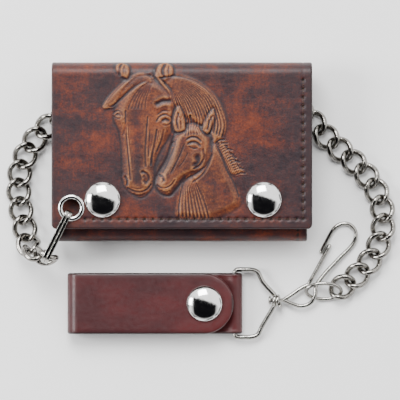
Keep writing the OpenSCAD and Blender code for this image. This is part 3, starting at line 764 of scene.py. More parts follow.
@dataclass
class Tooling:
    """Embossed figure: closed outlines that are raised, and strokes that are cut in or stand out.

    Sizes in mm about the wallet's middle. Heights add up: later outlines lie over earlier ones.
    """

    mane: tuple = (
        (-11, 30.5), (-5, 32), (2, 31.4), (8, 28.6), (13.4, 24), (17.2, 18), (18.8, 11.5), (17.5, 6.5),
        (13.5, 3.5), (11, 8), (5, 12.5), (-2, 16), (-6, 24),
    )
    forelock: tuple = (
        (-12, 31), (-17, 33), (-22, 30.8), (-27, 26.5), (-31.6, 21.5), (-33, 18.4), (-31, 17.6), (-27.5, 19.5),
        (-23, 24), (-18, 27.5), (-12.5, 28.8),
    )
    mare: tuple = (
        (-16, 31.2), (-9.5, 29.4), (-4.6, 25.4), (-2.4, 19.5), (-2.8, 12.8), (-5.4, 6.4), (-9, 0.5), (-11.4, -5.5),
        (-11.8, -11), (-12.8, -15.4), (-16.6, -18.6), (-20.6, -17.2), (-23.8, -13.6), (-24.6, -8), (-24.8, 0),
        (-25.8, 8), (-28, 13.2), (-27.4, 18), (-24.5, 24), (-20.5, 29),
    )
    mare_ears: tuple = (
        ((-22.4, 30.2), (-25, 31.2), (-27.4, 33.8), (-27.2, 36.2), (-25.2, 37.4), (-22.6, 36), (-21.4, 33.2)),
        ((-10.8, 30.4), (-11, 33.6), (-9.2, 36.4), (-6.6, 37.4), (-4.2, 35.6), (-3.4, 32.4), (-6.4, 29.8)),
    )
    neck: tuple = (
        (9, 0), (13.2, 4.8), (16.6, 1), (19, -6.5), (22, -12.6), (24.4, -18.4), (24, -22.4), (19, -25.6),
        (12, -27.8), (4, -28), (-2.4, -26.8), (-2.6, -22), (-1, -16), (2, -9.5), (6, -6),
    )
    foal: tuple = (
        (0, 9.8), (4.4, 11.4), (9, 9.6), (11.8, 5.6), (12, 0.4), (9.6, -5.4), (5.6, -9), (0.4, -11.6), (-2.2, -14.6),
        (-5.2, -17.8), (-9, -16.6), (-10.8, -12.8), (-8.8, -8.2), (-6, -3.4), (-4, 2.6), (-2.6, 7),
    )
    foal_ears: tuple = (
        ((-2.6, 8.2), (-3.8, 12.4), (-2.6, 17.2), (-1.4, 18.8), (0.6, 15.6), (1.6, 11.8), (1.2, 8.8)),
        ((8.4, 9.4), (9.6, 12.6), (12, 16.6), (13.2, 17.6), (13.4, 13.4), (12.2, 9.6), (10.6, 7.2)),
    )
    fringe: tuple = (
        (14, 6), (17.6, 3.4), (20.4, -0.6), (23.4, -5), (25.4, -8.6), (22.6, -9.4), (20, -9), (17.4, -3.6),
    )

    # Strokes cut in: row of points, half width, depth
    CUTS = (
        # mare: sides of the nose, cheek, brows, eyes, nostrils and mouth
        (((-23.4, 17), (-23.2, 9), (-22.5, 1), (-21.7, -7), (-21.3, -11.6)), 0.30, 0.26),
        (((-22.4, 12), (-21.8, 5), (-21, -1), (-20.4, -7)), 0.24, 0.16),
        (((-14.2, 14.4), (-14.8, 7), (-15.2, 0), (-15, -6)), 0.30, 0.24),
        (((-13.2, 9), (-13.6, 3), (-13.9, -2)), 0.24, 0.16),
        (((-10.4, 9.2), (-11.2, 4), (-12.4, -1.6), (-12.8, -5.4)), 0.34, 0.28),
        (((-7.6, 9), (-8.6, 4.6), (-10.4, 0.2)), 0.30, 0.22),
        (((-9.6, 8.6), (-10.2, 5), (-11.2, 1.4)), 0.24, 0.16),
        (((-10.2, 19.8), (-8, 20.9), (-5.4, 21)), 0.85, 0.30),
        (((-10.6, 12.6), (-9.2, 14.6), (-6.8, 15.4), (-4.6, 14.4), (-3.8, 12.8)), 0.30, 0.32),
        (((-10, 15.4), (-7.8, 17), (-5, 16.8)), 0.26, 0.18),
        (((-9, 12.2), (-7.4, 11.2), (-5.6, 11.3), (-4.4, 12.4)), 0.26, 0.26),
        (((-8, 12.8), (-6.8, 13.4), (-5.6, 12.9)), 0.60, 0.34),
        (((-28.2, 16), (-26.6, 17), (-25, 16.2), (-24.4, 14.8)), 0.28, 0.30),
        (((-28, 14.6), (-26.4, 13.8), (-25, 14.4)), 0.24, 0.24),
        (((-27, 15.4), (-26, 15.6), (-25.4, 15.1)), 0.42, 0.28),
        (((-24.4, 12), (-23.8, 10), (-24.2, 7)), 0.26, 0.20),
        (((-16.2, -8.4), (-14.6, -9.2), (-13.9, -11.2), (-15, -13)), 0.55, 0.34),
        (((-15.6, -10), (-15, -11), (-15.6, -12.2)), 0.50, 0.30),
        (((-23.4, -10.4), (-22.6, -11.8), (-22.7, -13.6)), 0.42, 0.28),
        (((-22.4, -15), (-20, -16.2), (-17, -16.5), (-14.4, -15.5), (-12.8, -13.4)), 0.28, 0.30),
        (((-21, -14.6), (-18.6, -15.2), (-16.4, -15)), 0.24, 0.16),
        (((-20.4, -17.4), (-18, -18.2), (-15.4, -17.4)), 0.24, 0.14),
        # foal: sides of the nose, brow, eye, cheek, nostril and mouth
        (((2.2, 5.2), (4, 6.1), (6.2, 5.8), (7.8, 4.4)), 0.34, 0.32),
        (((2.8, 3.4), (4.6, 4), (6.4, 3.6), (7.4, 2.6)), 0.46, 0.34),
        (((3, 2.2), (4.8, 1.4), (6.6, 1.6)), 0.26, 0.24),
        (((-3, 4.2), (-3.9, 3.4), (-3.9, 2.2)), 0.28, 0.26),
        (((0.9, 3), (-0.6, -1), (-2.6, -5), (-4.6, -9)), 0.26, 0.20),
        (((-2.4, 5.2), (-3.6, 0.6), (-5.6, -4), (-8, -8.6)), 0.26, 0.18),
        (((2.4, -0.6), (0.8, -3.6), (-1.2, -6.4)), 0.24, 0.16),
        (((8.8, 1), (9, -2.4), (7.4, -5.6), (4.8, -7)), 0.34, 0.24),
        (((6.4, -2.4), (6.8, -4), (5.8, -5.4)), 1.10, 0.30),
        (((-9, -9.8), (-7.8, -10.4), (-7.3, -12)), 0.42, 0.34),
        (((-8.2, -11), (-7.8, -11.8), (-8.2, -12.6)), 0.34, 0.26),
        (((-10.2, -13.8), (-8.4, -14.9), (-6.2, -14.8), (-4.2, -13.4), (-3, -11.6)), 0.28, 0.30),
        (((-9, -16), (-7, -16.8), (-5, -16)), 0.24, 0.16),
        (((4.6, -12.4), (8, -10), (11, -5.6), (12.6, -1)), 0.34, 0.18),
        (((2.4, -10.6), (5.6, -9.4), (9, -6.4)), 0.26, 0.14),
        (((14, 3.6), (16.4, -1.6), (18.6, -7.6), (21.6, -13), (23.6, -18.6)), 0.30, 0.20),
        # ears
        (((-25.6, 32), (-25.9, 34), (-25, 35.8)), 0.50, 0.32),
        (((-24.4, 32), (-24.2, 34), (-23.8, 35)), 0.26, 0.20),
        (((-7.4, 31), (-8, 33.4), (-7, 35.6)), 0.62, 0.34),
        (((-5.6, 31), (-5.6, 33.4), (-5.4, 35)), 0.26, 0.20),
        (((-1.6, 9.4), (-2.2, 12.6), (-1.5, 16)), 0.48, 0.34),
        (((-0.4, 9.2), (-0.4, 12), (-0.6, 14.6)), 0.24, 0.18),
        (((10.4, 9.2), (11.2, 12), (12.5, 14.8)), 0.44, 0.32),
    )
    # Areas left dark with dye: row of points and half width
    STAINS = (
        (((-18.6, 19), (-18.8, 10), (-18.6, 2), (-18.4, -6), (-18.6, -12)), 2.0),
        (((-12.8, 26), (-16, 25), (-19, 22)), 1.2),
        (((-9.8, 20.6), (-7, 21.4), (-4.8, 21.2)), 1.3),
        (((-12, 6), (-12.4, 0), (-13, -6)), 0.8),
        (((3.6, 8.6), (0.6, 5.4), (-1, 1), (-3.2, -4), (-6, -9.4)), 1.6),
        (((7, -1.6), (7.2, -4), (5.6, -5.8)), 1.4),
        (((1, 6.6), (3.4, 7.2), (7, 7)), 0.9),
        (((10, -12), (14, -14), (18, -18)), 2.6),
    )

    def strands(self) -> list[tuple[Array, float, float]]:
        """Locks of hair: fans of curves between two guide curves, each a share of the way across."""
        fans = (
            # mare's mane over the crest and down to her cheek
            (((-9.4, 30.8), (-2, 31.6), (7, 28.6), (14.2, 21.8), (18, 12), (17.2, 6)),
             ((-7, 28), (-5, 25), (-4, 21.4), (-3.2, 18.4), (-2.2, 16), (-1.2, 14)), 16, 0.30, 0.32),
            # forelock to the left
            (((-13, 31.8), (-19, 31.8), (-25, 27.8), (-30, 22.4), (-32.4, 18.6)),
             ((-12, 29.6), (-16.6, 28.2), (-21, 25), (-25, 21.4), (-28.4, 18.8)), 8, 0.26, 0.26),
            # forehead
            (((-14, 29), (-18, 26), (-21, 22), (-23, 17.6)),
             ((-12, 28.6), (-13.4, 25), (-14.4, 21.4), (-14.6, 18)), 6, 0.26, 0.14),
            # throat and chest of the foal
            (((4, -9.6), (7.4, -15), (10, -21), (12, -27.6)),
             ((0.4, -13), (-0.8, -17), (-1.8, -22), (-2, -26.6)), 9, 0.30, 0.24),
            # foal's mane at the back of the neck
            (((14.6, 5.8), (18.8, 2), (22.2, -3), (25.2, -8.6)),
             ((12.8, 3.2), (15.4, -1), (17.8, -5), (20.2, -9.6)), 6, 0.26, 0.18),
            # foal's forelock
            (((3.8, 15), (5.2, 12.8), (7.4, 10.2), (9.4, 7.8)),
             ((3.2, 15.2), (2.6, 12.4), (1.6, 9.6), (0.8, 6.6)), 7, 0.25, 0.24),
        )
        out = []
        for first, second, count, width, depth in fans:
            a, b = spline(first, 6), spline(second, 6)
            n = min(len(a), len(b))
            a = a[np.linspace(0, len(a) - 1, n).astype(int)]
            b = b[np.linspace(0, len(b) - 1, n).astype(int)]
            for k in range(count):
                share = (k + 0.5) / count
                out.append((a * (1 - share) + b * share, width, depth))
        return out

    def tufts(self) -> list[tuple[Array, float, float]]:
        """Short locks of the foal's mane: small hooked strokes square to the neck's back."""
        back = spline(((14.4, 5.4), (17, 2.6), (19.6, -1), (22, -5), (24, -8.6)), 4)
        out = []
        for k in range(1, len(back), 1):
            ahead = unit((back[k] - back[k - 1])[None])[0]
            side = np.array([-ahead[1], ahead[0]])
            base = back[k] - side * 0.6
            reach = 2.0 + 0.7 * math.sin(k * 2.4)
            tip = base + side * reach + ahead * 1.5
            out.append((spline((base - side * 0.8, base + side * reach * 0.5 + ahead * 0.4, tip), 3), 0.26, 0.3))
        return out

    def build(self, x: Array, y: Array) -> tuple[Array, Array]:
        """Height of the tooling and how far each point belongs to the figure.

        Args:
            x, y: points on the flap.

        Returns:
            Height over the plain leather and the share of figure, both of x's shape.
        """
        shape = x.shape
        x, y = x.ravel(), y.ravel()
        height = np.zeros(len(x))
        figure = np.zeros(len(x))

        def near(points: Array, reach: float) -> Array:
            """Numbers of the points within reach of a row's box."""
            low, high = points.min(0) - reach, points.max(0) + reach
            return np.nonzero((x > low[0]) & (x < high[0]) & (y > low[1]) & (y < high[1]))[0]

        layers = [(self.mane, 1.8, 0.46, 0.0), (self.forelock, 1.4, 0.5, 0.0), (self.mare, 3.6, 0.62, 0.12)]
        layers += [(e, 1.2, 0.48, 0.1) for e in self.mare_ears]
        layers += [(self.neck, 3.4, 0.5, 0.05), (self.fringe, 1.2, 0.34, 0.0), (self.foal, 2.8, 0.82, 0.22)]
        layers += [(e, 1.0, 0.8, 0.2) for e in self.foal_ears]
        for outline, width, tall, moat in layers:
            loop = spline(outline, 6, True)
            k = near(loop, 2.0)
            depth = inside_depth(loop, x[k], y[k])
            # the leather round a raised outline is pressed down in a narrow moat
            height[k] -= moat * np.exp(-(((depth + 0.5) / 0.55) ** 2))
            rise = swell(depth + 0.15, width)
            height[k] = np.where(depth > 0, np.maximum(height[k] * (1 - rise) + tall * rise, height[k] * (1 - rise)), height[k])
            figure[k] = np.maximum(figure[k], swell(depth + 0.4, 0.9))
        strokes = [(spline(p, 5), w, d) for p, w, d in self.CUTS] + self.strands() + self.tufts()
        for line, width, deep in strokes:
            k = near(line, 3 * width)
            d = line_distance(line, x[k], y[k])
            # a cut throws up a small ridge on both sides
            height[k] += -deep * np.exp(-((d / width) ** 2)) + 0.35 * deep * np.exp(-(((d - 1.9 * width) / (0.8 * width)) ** 2))
        for points, width in self.STAINS:
            line = spline(points, 5)
            k = near(line, 3 * width)
            # dye lies where the cloth did not rub: the figure fades out towards the stroke's middle
            figure[k] *= 1 - 0.9 * np.exp(-((line_distance(line, x[k], y[k]) / width) ** 2))
        return height.reshape(shape), figure.reshape(shape)


# feeds the cover's tan and painted highlight on raised tooling and its painted shade in recesses
def relief_above_surroundings(height: Array, passes: int = 10) -> Array:
    """How far a point stands above its surroundings: height less its own repeated neighbour average."""
    smooth = height.copy()
    for _ in range(passes):
        padded = np.pad(smooth, 1, mode="edge")
        smooth = (padded[:-2, 1:-1] + padded[2:, 1:-1] + padded[1:-1, :-2] + padded[1:-1, 2:] + padded[1:-1, 1:-1]) / 5
    return height - smooth


def edge_value(u: Array, v: Array, bounds: tuple[float, float, float, float], reach: float) -> Array:
    """1 at the rim of an oblong, falling to 0 at reach inside it."""
    d = np.minimum(np.minimum(u - bounds[0], bounds[1] - u), np.minimum(v - bounds[2], bounds[3] - v))
    return np.clip(1 - d / reach, 0, 1) ** 1.5


# ---------------------------------------------------------------------------
# Wallet


@dataclass
class Stitching:
    """Row of stitches: holes at a steady pitch and a thread that dips into them."""

    start: tuple[float, float]
    end: tuple[float, float]
    pitch: float
    top: float

    def holes(self) -> Array:
        """Places of the holes along the row."""
        a, b = np.array(self.start), np.array(self.end)
        n = int(np.linalg.norm(b - a) / self.pitch)
        ahead = (b - a) / np.linalg.norm(b - a)
        return a + ahead * (np.arange(n + 1) * self.pitch)[:, None]

    def thread(self, shape: Shape, over: bool = True) -> None:
        """Adds the stitches: each an arch of thread, h sin(pi s) high, between two holes."""
        holes = self.holes()
        sign = 1.0 if over else -1.0
        s = np.linspace(0.04, 0.96, 9)
        for a, b in zip(holes[:-1], holes[1:]):
            xy = a + (b - a) * s[:, None]
            z = self.top + sign * (-0.5 + 0.36 * np.sin(math.pi * s) ** 0.6)
            points, faces = tube(np.column_stack([xy, z]), 0.2, 6)
            shape.add(points, *faces)


@dataclass
class Wallet:
    """Trifold wallet: tooled cover, inner panel, pockets, snaps and grommet."""

    flap_w: float = 108.0
    panel_w: float = 104.0
    fold_y: float = 31.8
    low_fold_y: float = -31.8
    flap_low: float = -32.0
    inner_edge: float = 1.8
    fold_depth: float = 5.4
    leather: float = 1.6
    snaps: tuple = ((-32.8, -19.9), (34.0, -19.9))
    grommet: tuple[float, float] = (-45.8, -23.2)
    grommet_r: float = 3.5
    tooling: Tooling = field(default_factory=Tooling)

    def __post_init__(self) -> None:
        """Reads the levels of the layers from the frame."""
        self.back_z = level("back_panel", False)
        self.flap_top = level("grommet", True) - 0.9
        self.flap_z = self.flap_top - self.leather
        self.inner_top = level("inner_panel", True)
        self.stitch_rows = [
            Stitching((-40.0, -27.9), (50.6, -27.9), 3.5, self.flap_top),
            Stitching((50.2, -27.9), (50.2, 30.6), 3.6, self.flap_top),
        ]
        self.strip_rows = [Stitching((48.0, -36.0), (48.0, -32.4), 1.8, self.inner_top)]

    def cover_path(self, low: float, high: float, side: float) -> Array:
        """Middle line of a fold in the plane of Y and Z: the squarish bend between two levels."""
        bend = squarish_bend(self.fold_depth - self.leather / 2, high - low - self.leather)
        start = self.fold_y if side > 0 else self.low_fold_y
        return np.column_stack([start + side * bend[:, 0], (low + high) / 2 + bend[:, 1]])

    def dents(self, x: Array, y: Array, rows: Sequence[Stitching]) -> Array:
        """1 at the middle of each stitch hole, fading with a hole's radius of about 0.6 mm."""
        out = np.zeros(x.shape)
        for row in rows:
            holes = row.holes()
            low, high = holes.min(0) - 2, holes.max(0) + 2
            k = np.nonzero((x > low[0]) & (x < high[0]) & (y > low[1]) & (y < high[1]))
            px, py = x[k][:, None] - holes[None, :, 0], y[k][:, None] - holes[None, :, 1]
            out[k] = np.maximum(out[k], np.exp(-((np.hypot(px, py).min(1) / 0.70) ** 3)))
        return out

    def cover(self, dresser: Dresser) -> Object:
        """Front flap and top fold in one piece of leather, tooled, carried round the fold."""
        fold = self.cover_path(self.back_z, self.flap_top, 1)
        flat = np.column_stack([np.linspace(self.fold_y, self.flap_low, 60)[1:], np.full(59, self.flap_top - self.leather / 2)])
        path = Bend(np.vstack([fold, flat]))
        fold_run = float(path.run[len(fold) - 1])
        half = self.flap_w / 2
        sheet = Sheet((-half, half), (0.0, path.total), self.leather, 0.46, 0.46, (True, True, False, True), (0, 0, 2.0, 2.0))

        def flat_y(v: Array) -> Array:
            """Height on the flap that a run along the leather stands for."""
            return self.fold_y + fold_run - v

        def place(u: Array, v: Array, t: Array) -> Array:
            """Carries the flat leather round the fold and over the front."""
            y, z = path.at(v, -t)
            return np.stack([u, y, z], -1)

        store: dict[str, Array] = {}

        def raised(u: Array, v: Array) -> Array:
            """Tooling, stitch dents and the slow waviness of soft leather."""
            y = flat_y(v)
            height, figure = self.tooling.build(u, y)
            on_front = np.clip((self.fold_y + 8.5 - y) / 2.0, 0, 1)
            height, figure = height * on_front, figure * on_front
            holes = self.dents(u, y, self.stitch_rows)
            groove = 0.12 * np.exp(-(((y + 27.9) / 0.45) ** 2)) * (np.abs(u - 5) < 47)
            groove = np.maximum(groove, 0.12 * np.exp(-(((u - 50.2) / 0.45) ** 2)) * (y > -28.5))
            # relief above its surroundings: tan and painted highlight where raised, dark dye and painted shade where
            # sunk
            store["rub_highlight_and_shade"] = relief_above_surroundings(height)
            store["figure"] = figure
            # painted shade: the stitch dents also darken the leather in the holes to near black
            store["hole"] = holes
            wave = 0.10 * np.sin(u / 17.0 + 0.6) * np.sin(y / 13.0) + 0.05 * np.sin(u / 6.1 + y / 8.3)
            calm = np.clip((54 - np.abs(u)) / 8, 0, 1) * np.clip((y + 32) / 8, 0, 1)
            return height - 0.6 * holes - groove + wave * calm * 0.8

        points, faces = sheet.solid(place, raised, (self.grommet[0], fold_run + self.fold_y - self.grommet[1], self.grommet_r + 0.53))
        obj = make_object("tooled_cover", points, [f[:, ::-1] for f in faces])
        n = len(points) // 2
        zeros = np.zeros(n)
        u, v = (g.ravel() for g in sheet.grid()[:2])
        edge = edge_value(u, flat_y(v), (-half, half, self.flap_low, 200.0), 5.0)
        # painted shade: a dark band along the top fold, added to the edge value
        shade = np.clip(1 - np.abs(flat_y(v) - 30.4) / 3.2, 0, 1) * 0.35
        for name in ("rub_highlight_and_shade", "figure", "hole"):
            give_values(obj, name, np.concatenate([store[name].ravel(), zeros]))
        # edge value: dark cut edges and the painted fold shade on the upper face, a fixed high value on the underside
        give_values(obj, "edge", np.concatenate([np.maximum(edge, shade), np.full(n, 0.9)]))
        dresser.dress(obj, Finish.COVER, ["front_flap", "top_fold"], None)
        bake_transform(obj)
        return obj

    def inner(self, dresser: Dresser) -> Object:
        """Inner panel and bottom fold in one piece of leather."""
        fold = self.cover_path(self.back_z, self.inner_top, -1)
        flat = np.column_stack([np.linspace(self.low_fold_y, self.inner_edge, 20)[1:], np.full(19, self.inner_top - self.leather / 2)])
        path = Bend(np.vstack([fold, flat]))
        half = self.panel_w / 2
        sheet = Sheet((-half, half), (0.0, path.total), self.leather, 0.9, 0.6, (True, True, False, True), (0, 0, 2.0, 2.0))

        def place(u: Array, v: Array, t: Array) -> Array:
            """Carries the flat leather round the lower fold."""
            y, z = path.at(v, t)
            return np.stack([u, y, z], -1)

        holes: dict[str, Array] = {}

        def raised(u: Array, v: Array) -> Array:
            """Slow waviness and the stitch dents near the right end."""
            p = place(u, v, np.zeros_like(u))
            holes["at"] = self.dents(u, p[..., 1], self.strip_rows) * (p[..., 2] > self.inner_top - 4)
            calm = np.clip((half - np.abs(u)) / 6, 0, 1) * np.clip(v / 5, 0, 1)
            return 0.10 * calm * np.sin(u / 9.0) * np.cos(v / 7.0) - 0.3 * holes["at"]

        points, faces = sheet.solid(place, raised)
        obj = make_object("inner_panel_leather", points, faces)
        n = len(points) // 2
        u, v = (g.ravel() for g in sheet.grid()[:2])
        edge = edge_value(u, v, (-half, half, -50.0, path.total), 3.0)
        give_values(obj, "edge", np.concatenate([edge, np.full(n, 0.8)]))
        # painted shade: the stitch holes near the right end are darkened to near black
        give_values(obj, "hole", np.concatenate([holes["at"].ravel(), np.zeros(n)]))
        dresser.dress(obj, Finish.COVER, ["inner_panel", "bottom_fold"], None)
        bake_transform(obj)
        return obj

    def flat_piece(
        self,
        dresser: Dresser,
        name: str,
        finish: Finish,
        nodes: Sequence[str],
        body: str,
        plates: Sequence[tuple[float, float, float, float, float, float]],
        corner: float = 0.0,
        soft: tuple[bool, bool, bool, bool] = (True, True, True, True),
    ) -> Object:
        """Piece of one or more level sheets.

        Args:
            dresser: gives the finish.
            name: the piece's name.
            finish: its finish.
            nodes: the CAD nodes it stands for.
            body: the CAD body it rides on.
            plates: low x, high x, low y, high y, low z and high z of each sheet.
            corner: corner radius in plan.
            soft: which edges are rounded over.

        Returns:
            The piece.
        """
        shape = Shape()
        edges = []
        for x0, x1, y0, y1, z0, z1 in plates:
            sheet = Sheet((x0, x1), (y0, y1), z1 - z0, 2.5, 2.5, soft, (corner,) * 4)
            points, faces = sheet.solid(lying((z0 + z1) / 2))
            shape.add(points, *faces)
            u, v = (g.ravel() for g in sheet.grid()[:2])
            edges.append(np.tile(edge_value(u, v, (x0, x1, y0, y1), 2.5), 2))
        obj = shape.object(name)
        give_values(obj, "edge", np.concatenate(edges))
        return dresser.dress(obj, finish, nodes, body)

    def layers(self, dresser: Dresser) -> None:
        """Back panel, lining, divider, card pockets, window and its frame."""
        half = self.panel_w / 2
        self.flat_piece(
            dresser, "back_leather", Finish.COVER, ["back_panel"], "wallet",
            [(-half, half, self.low_fold_y, self.fold_y, self.back_z, self.back_z + self.leather)],
            0.0, (True, True, False, False),
        )
        z0, z1 = level("flap_lining", False), level("flap_lining", True)
        w = self.flap_w / 2 - 1
        sheet = Sheet((-w, w), (self.flap_low + 1, self.fold_y - 1), z1 - z0, 1.2, 1.2)
        points, faces = sheet.solid(lying((z0 + z1) / 2), None, (*self.grommet, self.grommet_r + 0.53))
        lining = make_object("flap_lining_kid", points, faces)
        give_values(lining, "edge", np.zeros(len(points)))
        dresser.dress(lining, Finish.LINING, ["flap_lining"], "flap")
        d0, d1 = level("bill_divider", False), level("bill_divider", True)
        gap = d1 - 0.8
        y0, y1 = self.low_fold_y + 0.5, self.fold_y - 0.5
        plates = [(-half + 1.5, half - 1.5, y0, y1, gap, d1), (half - 3, half - 1.5, y0, y1, d0, gap)]
        plates += [(-half + 1.5, half - 3, y, y + 1.5, d0, gap) for y in (y0, y1 - 1.5)]
        self.flat_piece(dresser, "bill_pocket_divider", Finish.LINING, ["bill_divider"], "wallet", plates)
        c0 = level("card_pockets", False)
        plates = [
            (-half + 3, half - 3, self.low_fold_y + 1, self.fold_y - 8 - 9 * k, c0 + 0.6 * k, c0 + 0.6 * (k + 1))
            for k in range(3)
        ]
        self.flat_piece(dresser, "card_pocket_sheets", Finish.LINING, ["card_pockets"], "wallet", plates, 1.5)
        f0, f1 = level("window_frame", False), level("window_frame", True)
        w0, w1 = level("clear_window", False), level("clear_window", True)
        mid = self.low_fold_y + 14.0
        y0, y1 = self.low_fold_y + 0.5, 0.8
        bars = [
            (-half + 2, half - 2, mid + 10, y1, f0, f1), (-half + 2, half - 2, y0, mid - 10, f0, f1),
            (-half + 2, -25.0, mid - 10, mid + 10, f0, f1), (25.0, half - 2, mid - 10, mid + 10, f0, f1),
        ]
        self.flat_piece(dresser, "window_frame_kid", Finish.LINING, ["window_frame"], "inner", bars, 0.0, (False,) * 4)
        self.flat_piece(
            dresser, "vinyl_window", Finish.VINYL, ["clear_window"], "inner",
            [(-27.0, 27.0, mid - 12, mid + 12, w0, w1)], 1.5,
        )

    def seams(self, dresser: Dresser) -> None:
        """Threads of the flap and of the back."""
        shape = Shape()
        for row in self.stitch_rows:
            row.thread(shape)
        thread = shape.object("flap_stitches")
        dresser.dress(thread, Finish.THREAD, ["flap_thread"], "flap")
        shape = Shape()
        half = self.panel_w / 2
        rows = [
            Stitching((-half + 4, self.fold_y - 3), (half - 4, self.fold_y - 3), 3.6, self.back_z),
            Stitching((half - 4, self.low_fold_y + 3), (half - 4, self.fold_y - 5), 3.6, self.back_z),
        ]
        for row in rows:
            row.thread(shape, False)
        dresser.dress(shape.object("back_stitches"), Finish.THREAD, ["pocket_thread"], "wallet")

    def snap_parts(self, dresser: Dresser) -> None:
        """Caps, sockets, studs and posts of the two snaps."""
        caps, sockets, studs, posts = Shape(), Shape(), Shape(), Shape()
        lining_z = level("flap_lining", False)
        inner_z = self.inner_top - self.leather
        for x, y in self.snaps:
            Snap(x, y, self.flap_top, lining_z, self.inner_top, inner_z).add_to(caps, sockets, studs, posts)
        dresser.dress(caps.object("snap_domes"), Finish.CAP, ["snap_caps"], "flap")
        dresser.dress(sockets.object("snap_socket_cups"), Finish.WIRE, ["snap_sockets"], "flap")
        dresser.dress(studs.object("snap_stud_knobs"), Finish.WIRE, ["snap_studs"], "inner")
        dresser.dress(posts.object("snap_post_rivets"), Finish.WIRE, ["snap_posts"], "inner")

    def grommet_parts(self, dresser: Dresser) -> None:
        """Rolled grommet and its washer."""
        x, y = self.grommet
        top, low = self.flap_top, level("flap_lining", False)
        r, out = self.grommet_r, 5.6
        a = np.radians(np.linspace(-20, 200, 16))
        flange = np.column_stack([(r + out) / 2 + (out - r) / 2 * np.cos(a), top + 0.1 + 0.8 * np.maximum(np.sin(a), -0.1)])
        tube_wall = np.array([[r, top - 0.3], [r, low - 0.6], [r + 0.5, low - 1.0], [r + 1.4, low - 0.9], [r + 1.4, low - 0.55], [r + 0.5, low - 0.5], [r + 0.5, top]])
        points, faces = lathe(np.vstack([flange, tube_wall]), (x, y, 0.0), 72)
        obj = make_object("rolled_grommet", points, faces)
        dresser.dress(obj, Finish.CAP, ["grommet"], "flap")
        washer = rounded([(r + 0.55, low - 0.5), (out, low - 0.5), (out, low), (r + 0.55, low)], 0.15)
        points, faces = lathe(washer, (x, y, 0.0), 64)
        dresser.dress(make_object("grommet_washer_ring", points, faces), Finish.WIRE, ["grommet_washer"], "flap")

    def build(self, dresser: Dresser) -> None:
        """Builds the whole wallet."""
        self.cover(dresser)
        self.inner(dresser)
        self.layers(dresser)
        self.seams(dresser)
        self.snap_parts(dresser)
        self.grommet_parts(dresser)


@dataclass
class Snap:
    """Line snap: domed cap with a rolled rim, spring socket, stud and post."""

    x: float
    y: float
    top: float
    under: float
    on: float
    floor: float
    cap_r: float = 7.5
    dome: float = 3.0

    def cap(self) -> tuple[Array, list[Array]]:
        """Cap: a flattened dome, h (1 - (r/R)^2)^0.62, rolled under at its rim, with its shank."""
        r = np.linspace(self.cap_r - 0.02, 0.0, 26)
        z = self.top + 0.45 + (self.dome - 0.45) * np.maximum(1 - (r / self.cap_r) ** 2.0, 0) ** 0.62
        rim = [(self.cap_r - 0.5, self.top), (self.cap_r - 0.12, self.top + 0.08), (self.cap_r, self.top + 0.28)]
        low = self.under - 0.5
        shank = [(0.0, low), (1.5, low), (1.68, low + 0.1), (1.68, self.top)]
        return lathe(shank + rim + list(zip(r, z)), (self.x, self.y, 0.0), 96)

    def socket(self) -> tuple[Array, list[Array]]:
        """Socket: flange, cup and the bead that its spring sits in."""
        u, gap = self.under, self.under - self.on
        low = u - gap + 0.9
        outline = [
            (1.76, u - 0.5), (3.0, u - 0.5), (3.0, low + 0.05), (3.2, low), (4.0, low), (4.2, low + 0.3), (4.35, low + 0.9),
            (4.15, low + 1.3), (4.2, u - 0.62), (5.7, u - 0.5), (6.0, u - 0.3), (5.95, u), (1.76, u),
        ]
        return lathe(rounded(outline, 0.12, 2), (self.x, self.y, 0.0), 64)

    def stud(self) -> tuple[Array, list[Array]]:
        """Stud: base flange and a knob, a little waisted below its head."""
        o, tall = self.on, self.under - self.on - 0.55
        outline = [
            (1.76, o), (5.3, o), (5.5, o + 0.2), (5.3, o + 0.45), (3.0, o + 0.5), (2.65, o + 0.9), (2.65, o + 1.3),
            (2.9, o + 1.8), (2.86, o + tall - 0.3), (2.5, o + tall), (1.76, o + tall),
        ]
        return lathe(rounded(outline, 0.1, 2), (self.x, self.y, 0.0), 64)

    def post(self) -> tuple[Array, list[Array]]:
        """Post: a flat head under the leather and a shank up through the stud."""
        f, high = self.floor, self.on + 2
        outline = [(0.0, f - 0.5), (3.9, f - 0.5), (4.4, f - 0.3), (4.38, f), (1.68, f), (1.68, high - 0.15), (1.5, high), (0.0, high)]
        return lathe(outline, (self.x, self.y, 0.0), 48)

    def add_to(self, caps: Shape, sockets: Shape, studs: Shape, posts: Shape) -> None:
        """Adds the four parts to their shapes."""
        for shape, part in ((caps, self.cap()), (sockets, self.socket()), (studs, self.stud()), (posts, self.post())):
            shape.add(part[0], *part[1])


# ---------------------------------------------------------------------------
# Chain


@dataclass
class Curb:
    """Curb link: an oval of round wire whose ends are turned out of its plane.

    Centre line: x = a cos t, and the y axis turned about x by twist * x / a.
    """

    long: float = 12.6
    wide: float = 10.8
    wire: float = 2.2
    twist: float = 40.0
    pitch: float = 7.8

    def link(self, steps: int = 56, sides: int = 14) -> tuple[Array, list[Array]]:
        """One link about its own middle, with its length along X."""
        t = np.arange(steps) * 2 * math.pi / steps
        a, b = (self.long - self.wire) / 2, (self.wide - self.wire) / 2
        turn = np.radians(self.twist) * np.cos(t)
        y = b * np.sin(t)
        path = np.stack([a * np.cos(t), y * np.cos(turn), y * np.sin(turn)], 1)
        ups = np.stack([np.zeros(steps), -np.sin(turn), np.cos(turn)], 1)
        return tube(path, self.wire / 2, sides, True, ups)

    def level_height(self) -> float:
        """Height of a link's middle above the table when it lies flat."""
        path = self.link(72, 8)[0]
        return float(path[:, 2].max())


